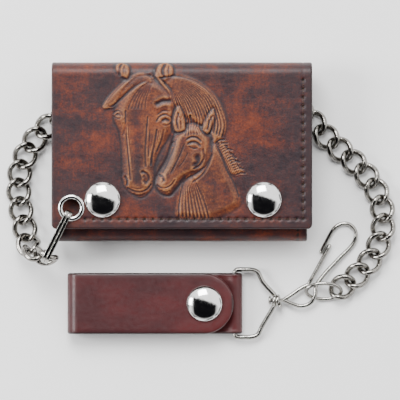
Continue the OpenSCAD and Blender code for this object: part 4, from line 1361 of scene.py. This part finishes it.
@dataclass
class Chain:
    """The chain: links on the table along a route of headings, and three that hang from the ring."""

    start: tuple[float, float] = (-65.6, -32.0)
    heading: float = 104.0
    runs: tuple = (
        (1, -4), (1, -6), (3, -14), (1, -12), (3, -16), (8, 3), (4, -17), (1, 7), (1, 4), (1, -2), (1, -8),
        (1, -13), (3, -16), (1, -14), (1, -11), (1, -10),
    )
    hang: tuple = ((-54, -43.7, 18.7), (-59.9, -43.1, 13.6), (-63.4, -41, 7.9))
    rolls: tuple = (-56, 63, -1)
    curb: Curb = field(default_factory=Curb)

    def __post_init__(self) -> None:
        """Works out each link's heading and middle: half a pitch along each of two headings."""
        turns = np.concatenate([[t] * n for n, t in self.runs])
        self.headings = np.radians(self.heading + np.concatenate([[0], np.cumsum(turns)]))
        half = self.curb.pitch / 2 * np.stack([np.cos(self.headings), np.sin(self.headings)], 1)
        steps = half[:-1] + half[1:]
        self.middles = np.array(self.start) + np.vstack([[0, 0], np.cumsum(steps, 0)])
        self.height = 2.54076
        self.first_joint = self.middles[0] - half[0]

    def lying_link(self, i: int) -> tuple[Array, list[Array]]:
        """Link number i where it lies on the table."""
        points, faces = self.curb.link()
        c, s = math.cos(self.headings[i]), math.sin(self.headings[i])
        turned = points @ np.array([[c, s, 0], [-s, c, 0], [0, 0, 1.0]])
        return turned + np.array([*self.middles[i], self.height]), faces

    def hung_link(self, a: Array, b: Array, roll: float) -> tuple[Array, list[Array]]:
        """Link whose length points from a to b, rolled about that line."""
        points, faces = self.curb.link()
        d = b - a
        x = d / np.linalg.norm(d)
        level_side = unit(np.cross([0, 0, 1.0], x)[None])[0]
        over = np.cross(x, level_side)
        r = math.radians(roll)
        y = level_side * math.cos(r) + over * math.sin(r)
        z = -level_side * math.sin(r) + over * math.cos(r)
        return points @ np.stack([x, y, z]) + (a + b) / 2, faces

    def nodes(self) -> list[tuple[str, range]]:
        """CAD node and the links it holds."""
        out = [(f"link_{i + 1:02d}", range(i, i + 1)) for i in range(7)]
        out += [("hidden_links_1", range(7, 11)), ("hidden_links_2", range(11, 14))]
        out += [("hidden_links_3", range(14, 18)), ("hidden_links_4", range(18, 21))]
        return out + [(f"link_{i + 1:02d}", range(i, i + 1)) for i in range(21, 33)]

    def build(self, dresser: Dresser) -> None:
        """Builds every link."""
        for node, numbers in self.nodes():
            shape = Shape()
            for i in numbers:
                points, faces = self.lying_link(i)
                shape.add(points, *faces)
            dresser.dress(shape.object("curb_" + node), Finish.CHAIN, [node], node)
        ends = [np.array(p) for p in self.hang] + [np.array([*self.first_joint, self.height])]
        shape = Shape()
        for a, b, roll in zip(ends[:-1], ends[1:], self.rolls):
            points, faces = self.hung_link(a, b, roll)
            shape.add(points, *faces)
        dresser.dress(shape.object("curb_ring_links"), Finish.CHAIN, ["ring_links"], "ring_links")


@dataclass
class SplitRing:
    """Flat split ring on edge: two coils side by side, each a rounded oblong section round an oval."""

    at: tuple[float, float] = (-45.8, -23.2)
    turn: float = 243.4
    start: float = 1.51
    length: float = 24.0
    thick: float = 1.5
    wide: float = 3.0
    corner: float = 2.3

    def path(self) -> Array:
        """Middle line of the band in its own plane: straight rails, a squarish end and a round end."""
        low, high = level("split_ring", False), level("split_ring", True)
        h, r = high - low, self.thick / 2
        tight, full = self.corner - r, h / 2 - r
        a = np.radians(np.linspace(-90, 90, 24))
        end = self.length - h / 2
        far = np.stack([end + full * np.cos(a), h / 2 + full * np.sin(a)], 1)
        b = np.radians(np.linspace(90, 180, 8))
        upper = np.stack([self.corner + tight * np.cos(b), h - self.corner + tight * np.sin(b)], 1)
        c = np.radians(np.linspace(180, 270, 8))
        lower = np.stack([self.corner + tight * np.cos(c), self.corner + tight * np.sin(c)], 1)
        rail = np.linspace(end, self.corner, 14)[1:-1]
        top = np.stack([rail, np.full(len(rail), h - r)], 1)
        under = np.stack([rail[::-1], np.full(len(rail), r)], 1)
        flat = np.vstack([far, top, upper, lower, under])
        return np.column_stack([flat[:, 0], flat[:, 1] + low])

    def build(self, dresser: Dresser) -> None:
        """Builds both coils."""
        line = self.path()
        a = math.radians(self.turn)
        along, across = np.array([math.cos(a), math.sin(a)]), np.array([math.sin(a), -math.cos(a)])
        ahead = unit(np.roll(line, -1, 0) - np.roll(line, 1, 0))
        out = np.stack([ahead[:, 1], -ahead[:, 0]], 1)
        half = self.wide / 4 - 0.03
        section = rounded([(-half, -self.thick / 2), (half, -self.thick / 2), (half, self.thick / 2), (-half, self.thick / 2)], 0.3, 3)
        shape = Shape()
        for side in (-1, 1):
            w = side * self.wide / 4 + section[None, :, 0]
            s = line[:, None, 0] + out[:, None, 0] * section[None, :, 1] + self.start
            z = line[:, None, 1] + out[:, None, 1] * section[None, :, 1]
            w = np.broadcast_to(w, s.shape)
            xy = np.array(self.at) + s[..., None] * along + w[..., None] * across
            points = np.concatenate([xy, z[..., None]], -1).reshape(-1, 3)
            shape.add(points, grid_faces(len(line), len(section), True, True))
        dresser.dress(shape.object("split_ring_coils"), Finish.WIRE, ["split_ring"], "flap")


# ---------------------------------------------------------------------------
# Snap hook, swivel and wire loop


@dataclass
class Hardware:
    """Bent-wire snap hook with its gate, the oval loop on the chain, the swivel stem and the wire loop."""

    stem_y: float = -61.8
    stem_z: float = 2.8
    hook_r: float = 0.85
    strap_y: float = -63.15
    bar_x: float = 22.1
    bar_z: float = 3.65
    bar_half: float = 14.1
    neck_x: float = 37.4
    hook: tuple = (
        (42.4, -61.8, 2.8), (43.6, -62.3, 2.8), (45.6, -63.2, 2.8), (49.6, -64.3, 2.9), (53.6, -63, 3.1), (55.6, -59.6, 3.2),
        (55.9, -56, 2.9), (59.4, -51, 2.2), (65.4, -44.6, 1.4), (71.2, -38.6, 0.9), (72.6, -34, 0.9),
        (70.6, -30.6, 0.9), (67, -29.9, 0.9), (63.6, -31.8, 0.9), (61, -36, 0.9), (58, -41.8, 0.9),
    )
    root: tuple = ((42.8, -61.5, 2.8), (46, -59.4, 2.7), (49.8, -56.8, 2.4), (52.7, -55.3, 2.05))
    gate: tuple = ((53.2, -54.4, 2.0), (57.4, -46.8, 1.5), (61.6, -39.2, 1.0))

    def hook_parts(self, dresser: Dresser) -> None:
        """Hook: one long bend of wire and its short root, and the gate as its own wire."""
        shape = Shape()
        for row in (self.hook, self.root):
            points, faces = tube(spline(row, 8), self.hook_r, 14)
            shape.add(points, *faces)
        dresser.dress(shape.object("snap_hook_wire"), Finish.WIRE, ["snap_hook"], "hook")
        points, faces = tube(spline(self.gate, 6), self.hook_r * 0.98, 14)
        dresser.dress(make_object("hook_gate_wire", points, faces), Finish.WIRE, ["hook_gate"], "gate")

    def end_loop(self, dresser: Dresser) -> None:
        """Oval loop: x = a cos t, y = b sin t, tipped about its length."""
        t = np.arange(64) * 2 * math.pi / 64
        flat = np.stack([7.3 * np.cos(t), 3.9 * np.sin(t), np.zeros(64)], 1)
        tip = math.radians(32)
        lean = np.array([[1, 0, 0], [0, math.cos(tip), math.sin(tip)], [0, -math.sin(tip), math.cos(tip)]])
        path = flat @ lean + np.array([59.2, -58.1, 2.9])
        ups = np.broadcast_to(np.array([0, 0, 1.0]) @ lean, path.shape)
        points, faces = tube(path, 0.77, 14, True, ups)
        dresser.dress(make_object("chain_end_loop", points, faces), Finish.WIRE, ["end_loop"], "end_loop")

    def stem(self, dresser: Dresser) -> None:
        """Swivel stem: a pin with a domed head, turned about X."""
        head = [(0.0, -1.4), (1.2, -1.35), (1.8, -1.0), (1.85, -0.6), (1.6, -0.4), (0.84, -0.35), (0.84, 5.0), (0.0, 5.0)]
        points, faces = lathe(head, (0, 0, 0), 32)
        turned = np.stack([points[:, 2] + self.neck_x, points[:, 0] * -1.0 + self.stem_y, points[:, 1] * -1.0 + self.stem_z], 1)
        dresser.dress(make_object("swivel_pin", turned, faces), Finish.WIRE, ["swivel_stem"], "hook")

    def wire_loop(self, dresser: Dresser) -> None:
        """Wire loop: bar, two sides drawn in to the neck, and one coil wound on the stem."""
        tilt = math.asin((self.bar_z - self.stem_z) / (self.neck_x - self.bar_x))
        h, neck = self.bar_half, self.neck_x - self.bar_x
        off = self.stem_y - self.strap_y
        side = [(0, h - 2.4), (0.02, h - 1.35), (0.35, h - 0.45), (1.3, h - 0.02), (4, h), (6.8, h - 0.1), (9.6, h - 1.2), (11.7, h - 5.2)]
        right = [(x, y) for x, y in side] + [(neck + 1.2, off + 2.2)]
        left = [(x, -y) for x, y in side[::-1]]
        path = [(neck + 1.2, off - 2.2)] + left + right
        flat = spline(path, 8)
        c, s = math.cos(tilt), math.sin(tilt)
        world = np.stack([self.bar_x + flat[:, 0] * c, self.strap_y + flat[:, 1], self.bar_z - flat[:, 0] * s], 1)
        shape = Shape()
        points, faces = tube(world, 1.0, 14)
        shape.add(points, *faces)
        for phase, low, high in ((0.0, self.neck_x + 0.7, self.neck_x + 3.6),):
            t = np.linspace(0, 2 * math.pi * 2.1, 76)
            flare = 1.78 + 1.3 * np.clip((t - t[-1] + 1.1) / 1.1, 0, 1) ** 1.5
            coil = np.stack([np.linspace(low, high, 76), self.stem_y - flare * np.cos(t + phase), self.stem_z + flare * np.sin(t + phase)], 1)
            points, faces = tube(coil, 0.74, 12, False, (1.0, 0.0, 0.0))
            shape.add(points, *faces)
        dresser.dress(shape.object("wire_loop_coil"), Finish.WIRE, ["d_loop"], "d_loop")

    def build(self, dresser: Dresser) -> None:
        """Builds all of it."""
        self.end_loop(dresser)
        self.hook_parts(dresser)
        self.stem(dresser)
        self.wire_loop(dresser)


# ---------------------------------------------------------------------------
# Belt strap


@dataclass
class Strap:
    """Belt strap: one strip folded round the loop's bar and back on itself, held by a snap."""

    y: float = -63.15
    wide: float = 25.4
    thick: float = 2.0
    left: float = -47.8
    right: float = 25.2
    bar_x: float = 22.1
    snap_x: float = 9.4
    tail_end: float = 1.0
    tongue_end: float = 21.5

    def __post_init__(self) -> None:
        """Reads the strap's levels from the frame."""
        self.low = level("strap_back", False)
        self.top = level("strap_front", True)
        self.front_z = level("strap_front", False)
        self.fold_r = (self.top - self.low) / 2
        self.fold_x = self.left + self.fold_r
        self.bar_z = self.low + self.thick / 2 + 2.1
        self.tail_top = self.low + 2 * self.thick + 0.05

    def strip(self, name: str, line: Array, corners: tuple[float, float, float, float], soft: tuple[bool, bool, bool, bool]) -> tuple[Object, Array, Array]:
        """Strip of leather along a line in the plane of X and Z, rounded at its edges."""
        path = Bend(line)
        half = self.wide / 2
        sheet = Sheet((-half, half), (0.0, path.total), self.thick, 1.2, 0.9, soft, corners)

        def place(u: Array, v: Array, t: Array) -> Array:
            """Carries the flat strip along its line."""
            x, z = path.at(v, t)
            return np.stack([x, self.y + u, z], -1)

        def crown(u: Array, v: Array) -> Array:
            """Leather thinned by creasing: a shallow pressed line 1.6 mm in from each edge."""
            d = half - np.abs(u)
            return -0.10 * np.exp(-(((d - 1.7) / 0.35) ** 2))

        points, faces = sheet.solid(place, crown)
        obj = make_object(name, points, [f[:, ::-1] for f in faces])
        u, v = (g.ravel() for g in sheet.grid()[:2])
        far = min(path.total, 1e9)
        edge = edge_value(u, v, (-half, half, -9.0 if not soft[2] else 0.0, far if soft[3] else far + 9), 1.8)
        give_values(obj, "edge", np.tile(edge, 2))
        return obj, u, v

    def back_line(self) -> Array:
        """Lower leaf, turn round the bar, and the tail that comes back over it."""
        r, mid = 2.1, self.low + self.thick / 2
        tail = mid + self.thick + 0.05
        slope = math.radians(20)
        a = np.radians(np.arange(-90, 111, 8.0))
        turn = np.stack([self.bar_x + r * np.cos(a), mid + r + r * np.sin(a)], 1)
        drop = self.bar_x - r * math.sin(slope) - (mid + r + r * math.cos(slope) - tail) / math.tan(slope)
        first = np.stack([np.linspace(self.fold_x, self.bar_x, 30)[:-1], np.full(29, mid)], 1)
        down = np.stack([np.linspace(turn[-1, 0], drop, 6)[1:-1], np.linspace(turn[-1, 1], tail, 6)[1:-1]], 1)
        last = np.stack([np.linspace(drop, self.tail_end, 6), np.full(6, tail)], 1)
        return np.vstack([first, turn, down, last])

    def leaf_line(self) -> Array:
        """Left fold, from the lower leaf up and over, and the front leaf to the tongue's end."""
        r = self.fold_r - self.thick / 2
        mid = self.low + self.fold_r
        a = np.radians(np.linspace(270, 90, 34))
        fold = np.stack([self.fold_x + r * np.cos(a), mid + r * np.sin(a)], 1)
        x = np.linspace(self.fold_x, self.tongue_end, 40)[1:]
        bow = 0.25 * np.sin(math.pi * np.clip((x - self.fold_x) / 45, 0, 1)) ** 2
        return np.vstack([fold, np.stack([x, self.top - self.thick / 2 + bow * 0], 1)])

    def build(self, dresser: Dresser) -> None:
        """Builds the strip in two pieces and its snap."""
        back, _, _ = self.strip("strap_lower_leaf", self.back_line()[::-1], (1.5, 1.5, 0, 0), (True, True, True, False))
        dresser.dress(back, Finish.STRAP, ["strap_back"], "strap")
        half = self.wide / 2
        leaf, _, _ = self.strip("strap_upper_leaf", self.leaf_line(), (0, 0, half - 0.05, half - 0.05), (True, True, False, True))
        dresser.dress(leaf, Finish.STRAP, ["strap_front", "strap_fold"], None)
        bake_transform(leaf)
        caps, sockets, studs, posts = Shape(), Shape(), Shape(), Shape()
        snap = Snap(self.snap_x, self.y, self.top, self.front_z, self.tail_top, self.low)
        snap.add_to(caps, sockets, studs, posts)
        dresser.dress(caps.object("strap_snap_dome"), Finish.CAP, ["strap_cap"], "strap_leaf")
        dresser.dress(sockets.object("strap_snap_cup"), Finish.WIRE, ["strap_socket"], "strap_leaf")
        dresser.dress(studs.object("strap_snap_knob"), Finish.WIRE, ["strap_stud"], "strap")
        dresser.dress(posts.object("strap_snap_rivet"), Finish.WIRE, ["strap_post"], "strap")


# ---------------------------------------------------------------------------
# Table, light and camera


@dataclass
class Studio:
    """Pale table, soft light from above and behind, and a camera straight above."""

    wide: float = 0.1672
    distance: float = 2.4
    room: float = 2.5
    look: tuple[float, float] = (-0.0003, 0.0002)

    def table(self) -> None:
        """White table top."""
        s = 3.0
        mesh = bpy.data.meshes.new("table_top")
        mesh.from_pydata([(-s, -s, 0), (s, -s, 0), (s, s, 0), (-s, s, 0)], [], [(0, 1, 2, 3)])
        floor = bpy.data.objects.new("table_top", mesh)
        bpy.context.scene.collection.objects.link(floor)
        material, tree, shader, place = start_material("matt white table")
        tree.links.new(ramp(tree, noise(tree, place, 60, 2.0), [(0.2, "f6f6f6"), (0.8, "fbfbfb")]), shader.inputs["Base Color"])
        shader.inputs["Roughness"].default_value = 0.9
        shader.inputs["Specular IOR Level"].default_value = 0.1
        mesh.materials.append(material)

    def light(self, name: str, place: tuple[float, float, float], size: float, power: float) -> None:
        """Square soft light that points at the middle of the table."""
        data = bpy.data.lights.new(name, "AREA")
        data.size = size
        data.energy = power
        lamp = bpy.data.objects.new(name, data)
        bpy.context.scene.collection.objects.link(lamp)
        lamp.location = place
        lamp.visible_camera = False
        direction = np.array(place) * -1.0
        lamp.rotation_mode = "QUATERNION"
        from mathutils import Vector

        lamp.rotation_quaternion = Vector(direction).to_track_quat("-Z", "Y")

    def world(self) -> None:
        """Room: white tent with dark cloths hung in its walls, and a dark gap overhead on the near
        side where the table is watched from. Polished metal shows both as dark patches."""
        world = bpy.data.worlds.new("studio_room")
        bpy.context.scene.world = world
        world.use_nodes = True
        tree = world.node_tree
        back = tree.nodes["Background"]
        way = add_node(tree, "ShaderNodeTexCoord").outputs["Generated"]
        parts = add_node(tree, "ShaderNodeSeparateXYZ", {0: way})
        slant = add_node(tree, "ShaderNodeMath", {0: parts.outputs["X"], 1: 0.35, 2: parts.outputs["Y"]}, operation="MULTIPLY_ADD")
        wavy = add_node(tree, "ShaderNodeTexNoise", {"Vector": way, "Scale": 5.0, "Detail": 2.0}).outputs["Fac"]
        rim = add_node(tree, "ShaderNodeMath", {0: wavy, 1: 0.3, 2: slant.outputs[0]}, operation="MULTIPLY_ADD").outputs[0]
        near = span(tree, rim, 0.36, 0.24, 0.0, 1.0)
        high = span(tree, parts.outputs["Z"], 0.30, 0.62, 0.0, 1.0)
        inward = add_node(tree, "ShaderNodeMath", {0: parts.outputs["X"]}, operation="ABSOLUTE").outputs[0]
        middle = span(tree, inward, 0.80, 0.55, 0.0, 1.0)
        gap = add_node(tree, "ShaderNodeMath", {0: near, 1: high}, operation="MULTIPLY").outputs[0]
        gap = add_node(tree, "ShaderNodeMath", {0: gap, 1: middle}, operation="MULTIPLY").outputs[0]
        panels = add_node(tree, "ShaderNodeTexNoise", {"Vector": way, "Scale": 2.3, "Detail": 1.0}).outputs["Fac"]
        low = span(tree, parts.outputs["Z"], 0.55, 0.36, 0.0, 1.0)
        hung = span(tree, panels, 0.50, 0.56, 0.0, 1.0)
        cloth = add_node(tree, "ShaderNodeMath", {0: low, 1: hung}, operation="MULTIPLY").outputs[0]
        walls = mix(tree, cloth, linear("f6f6f6"), linear("242424"))
        tree.links.new(mix(tree, gap, walls, linear("0b0b0d")), back.inputs["Color"])
        back.inputs["Strength"].default_value = self.room

    def camera(self) -> None:
        """Camera above the table's middle, its view as wide as the lay-out."""
        data = bpy.data.cameras.new("above")
        data.sensor_width = 36.0
        data.lens = 36.0 * self.distance / self.wide
        data.clip_end = 20.0
        camera = bpy.data.objects.new("above", data)
        bpy.context.scene.collection.objects.link(camera)
        camera.location = (self.look[0], self.look[1], self.distance)
        camera.rotation_euler = (0, 0, 0)
        bpy.context.scene.camera = camera

    def build(self) -> None:
        """Sets the whole scene round the object."""
        self.table()
        self.light("far_soft", (-0.15, 0.75, 1.0), 0.6, 17.0)
        self.light("left_soft", (-0.9, 0.1, 0.7), 0.45, 11.0)
        self.world()
        self.camera()


def write_sizes() -> None:
    """Updates the view layer."""
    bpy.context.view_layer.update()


def main() -> None:
    """Builds the studio and every piece, in order."""
    studio = Studio()
    studio.build()
    dresser = Dresser()
    Wallet().build(dresser)
    Chain().build(dresser)
    SplitRing().build(dresser)
    Hardware().build(dresser)
    Strap().build(dresser)
    write_sizes()


if __name__ == "__main__":
    main()
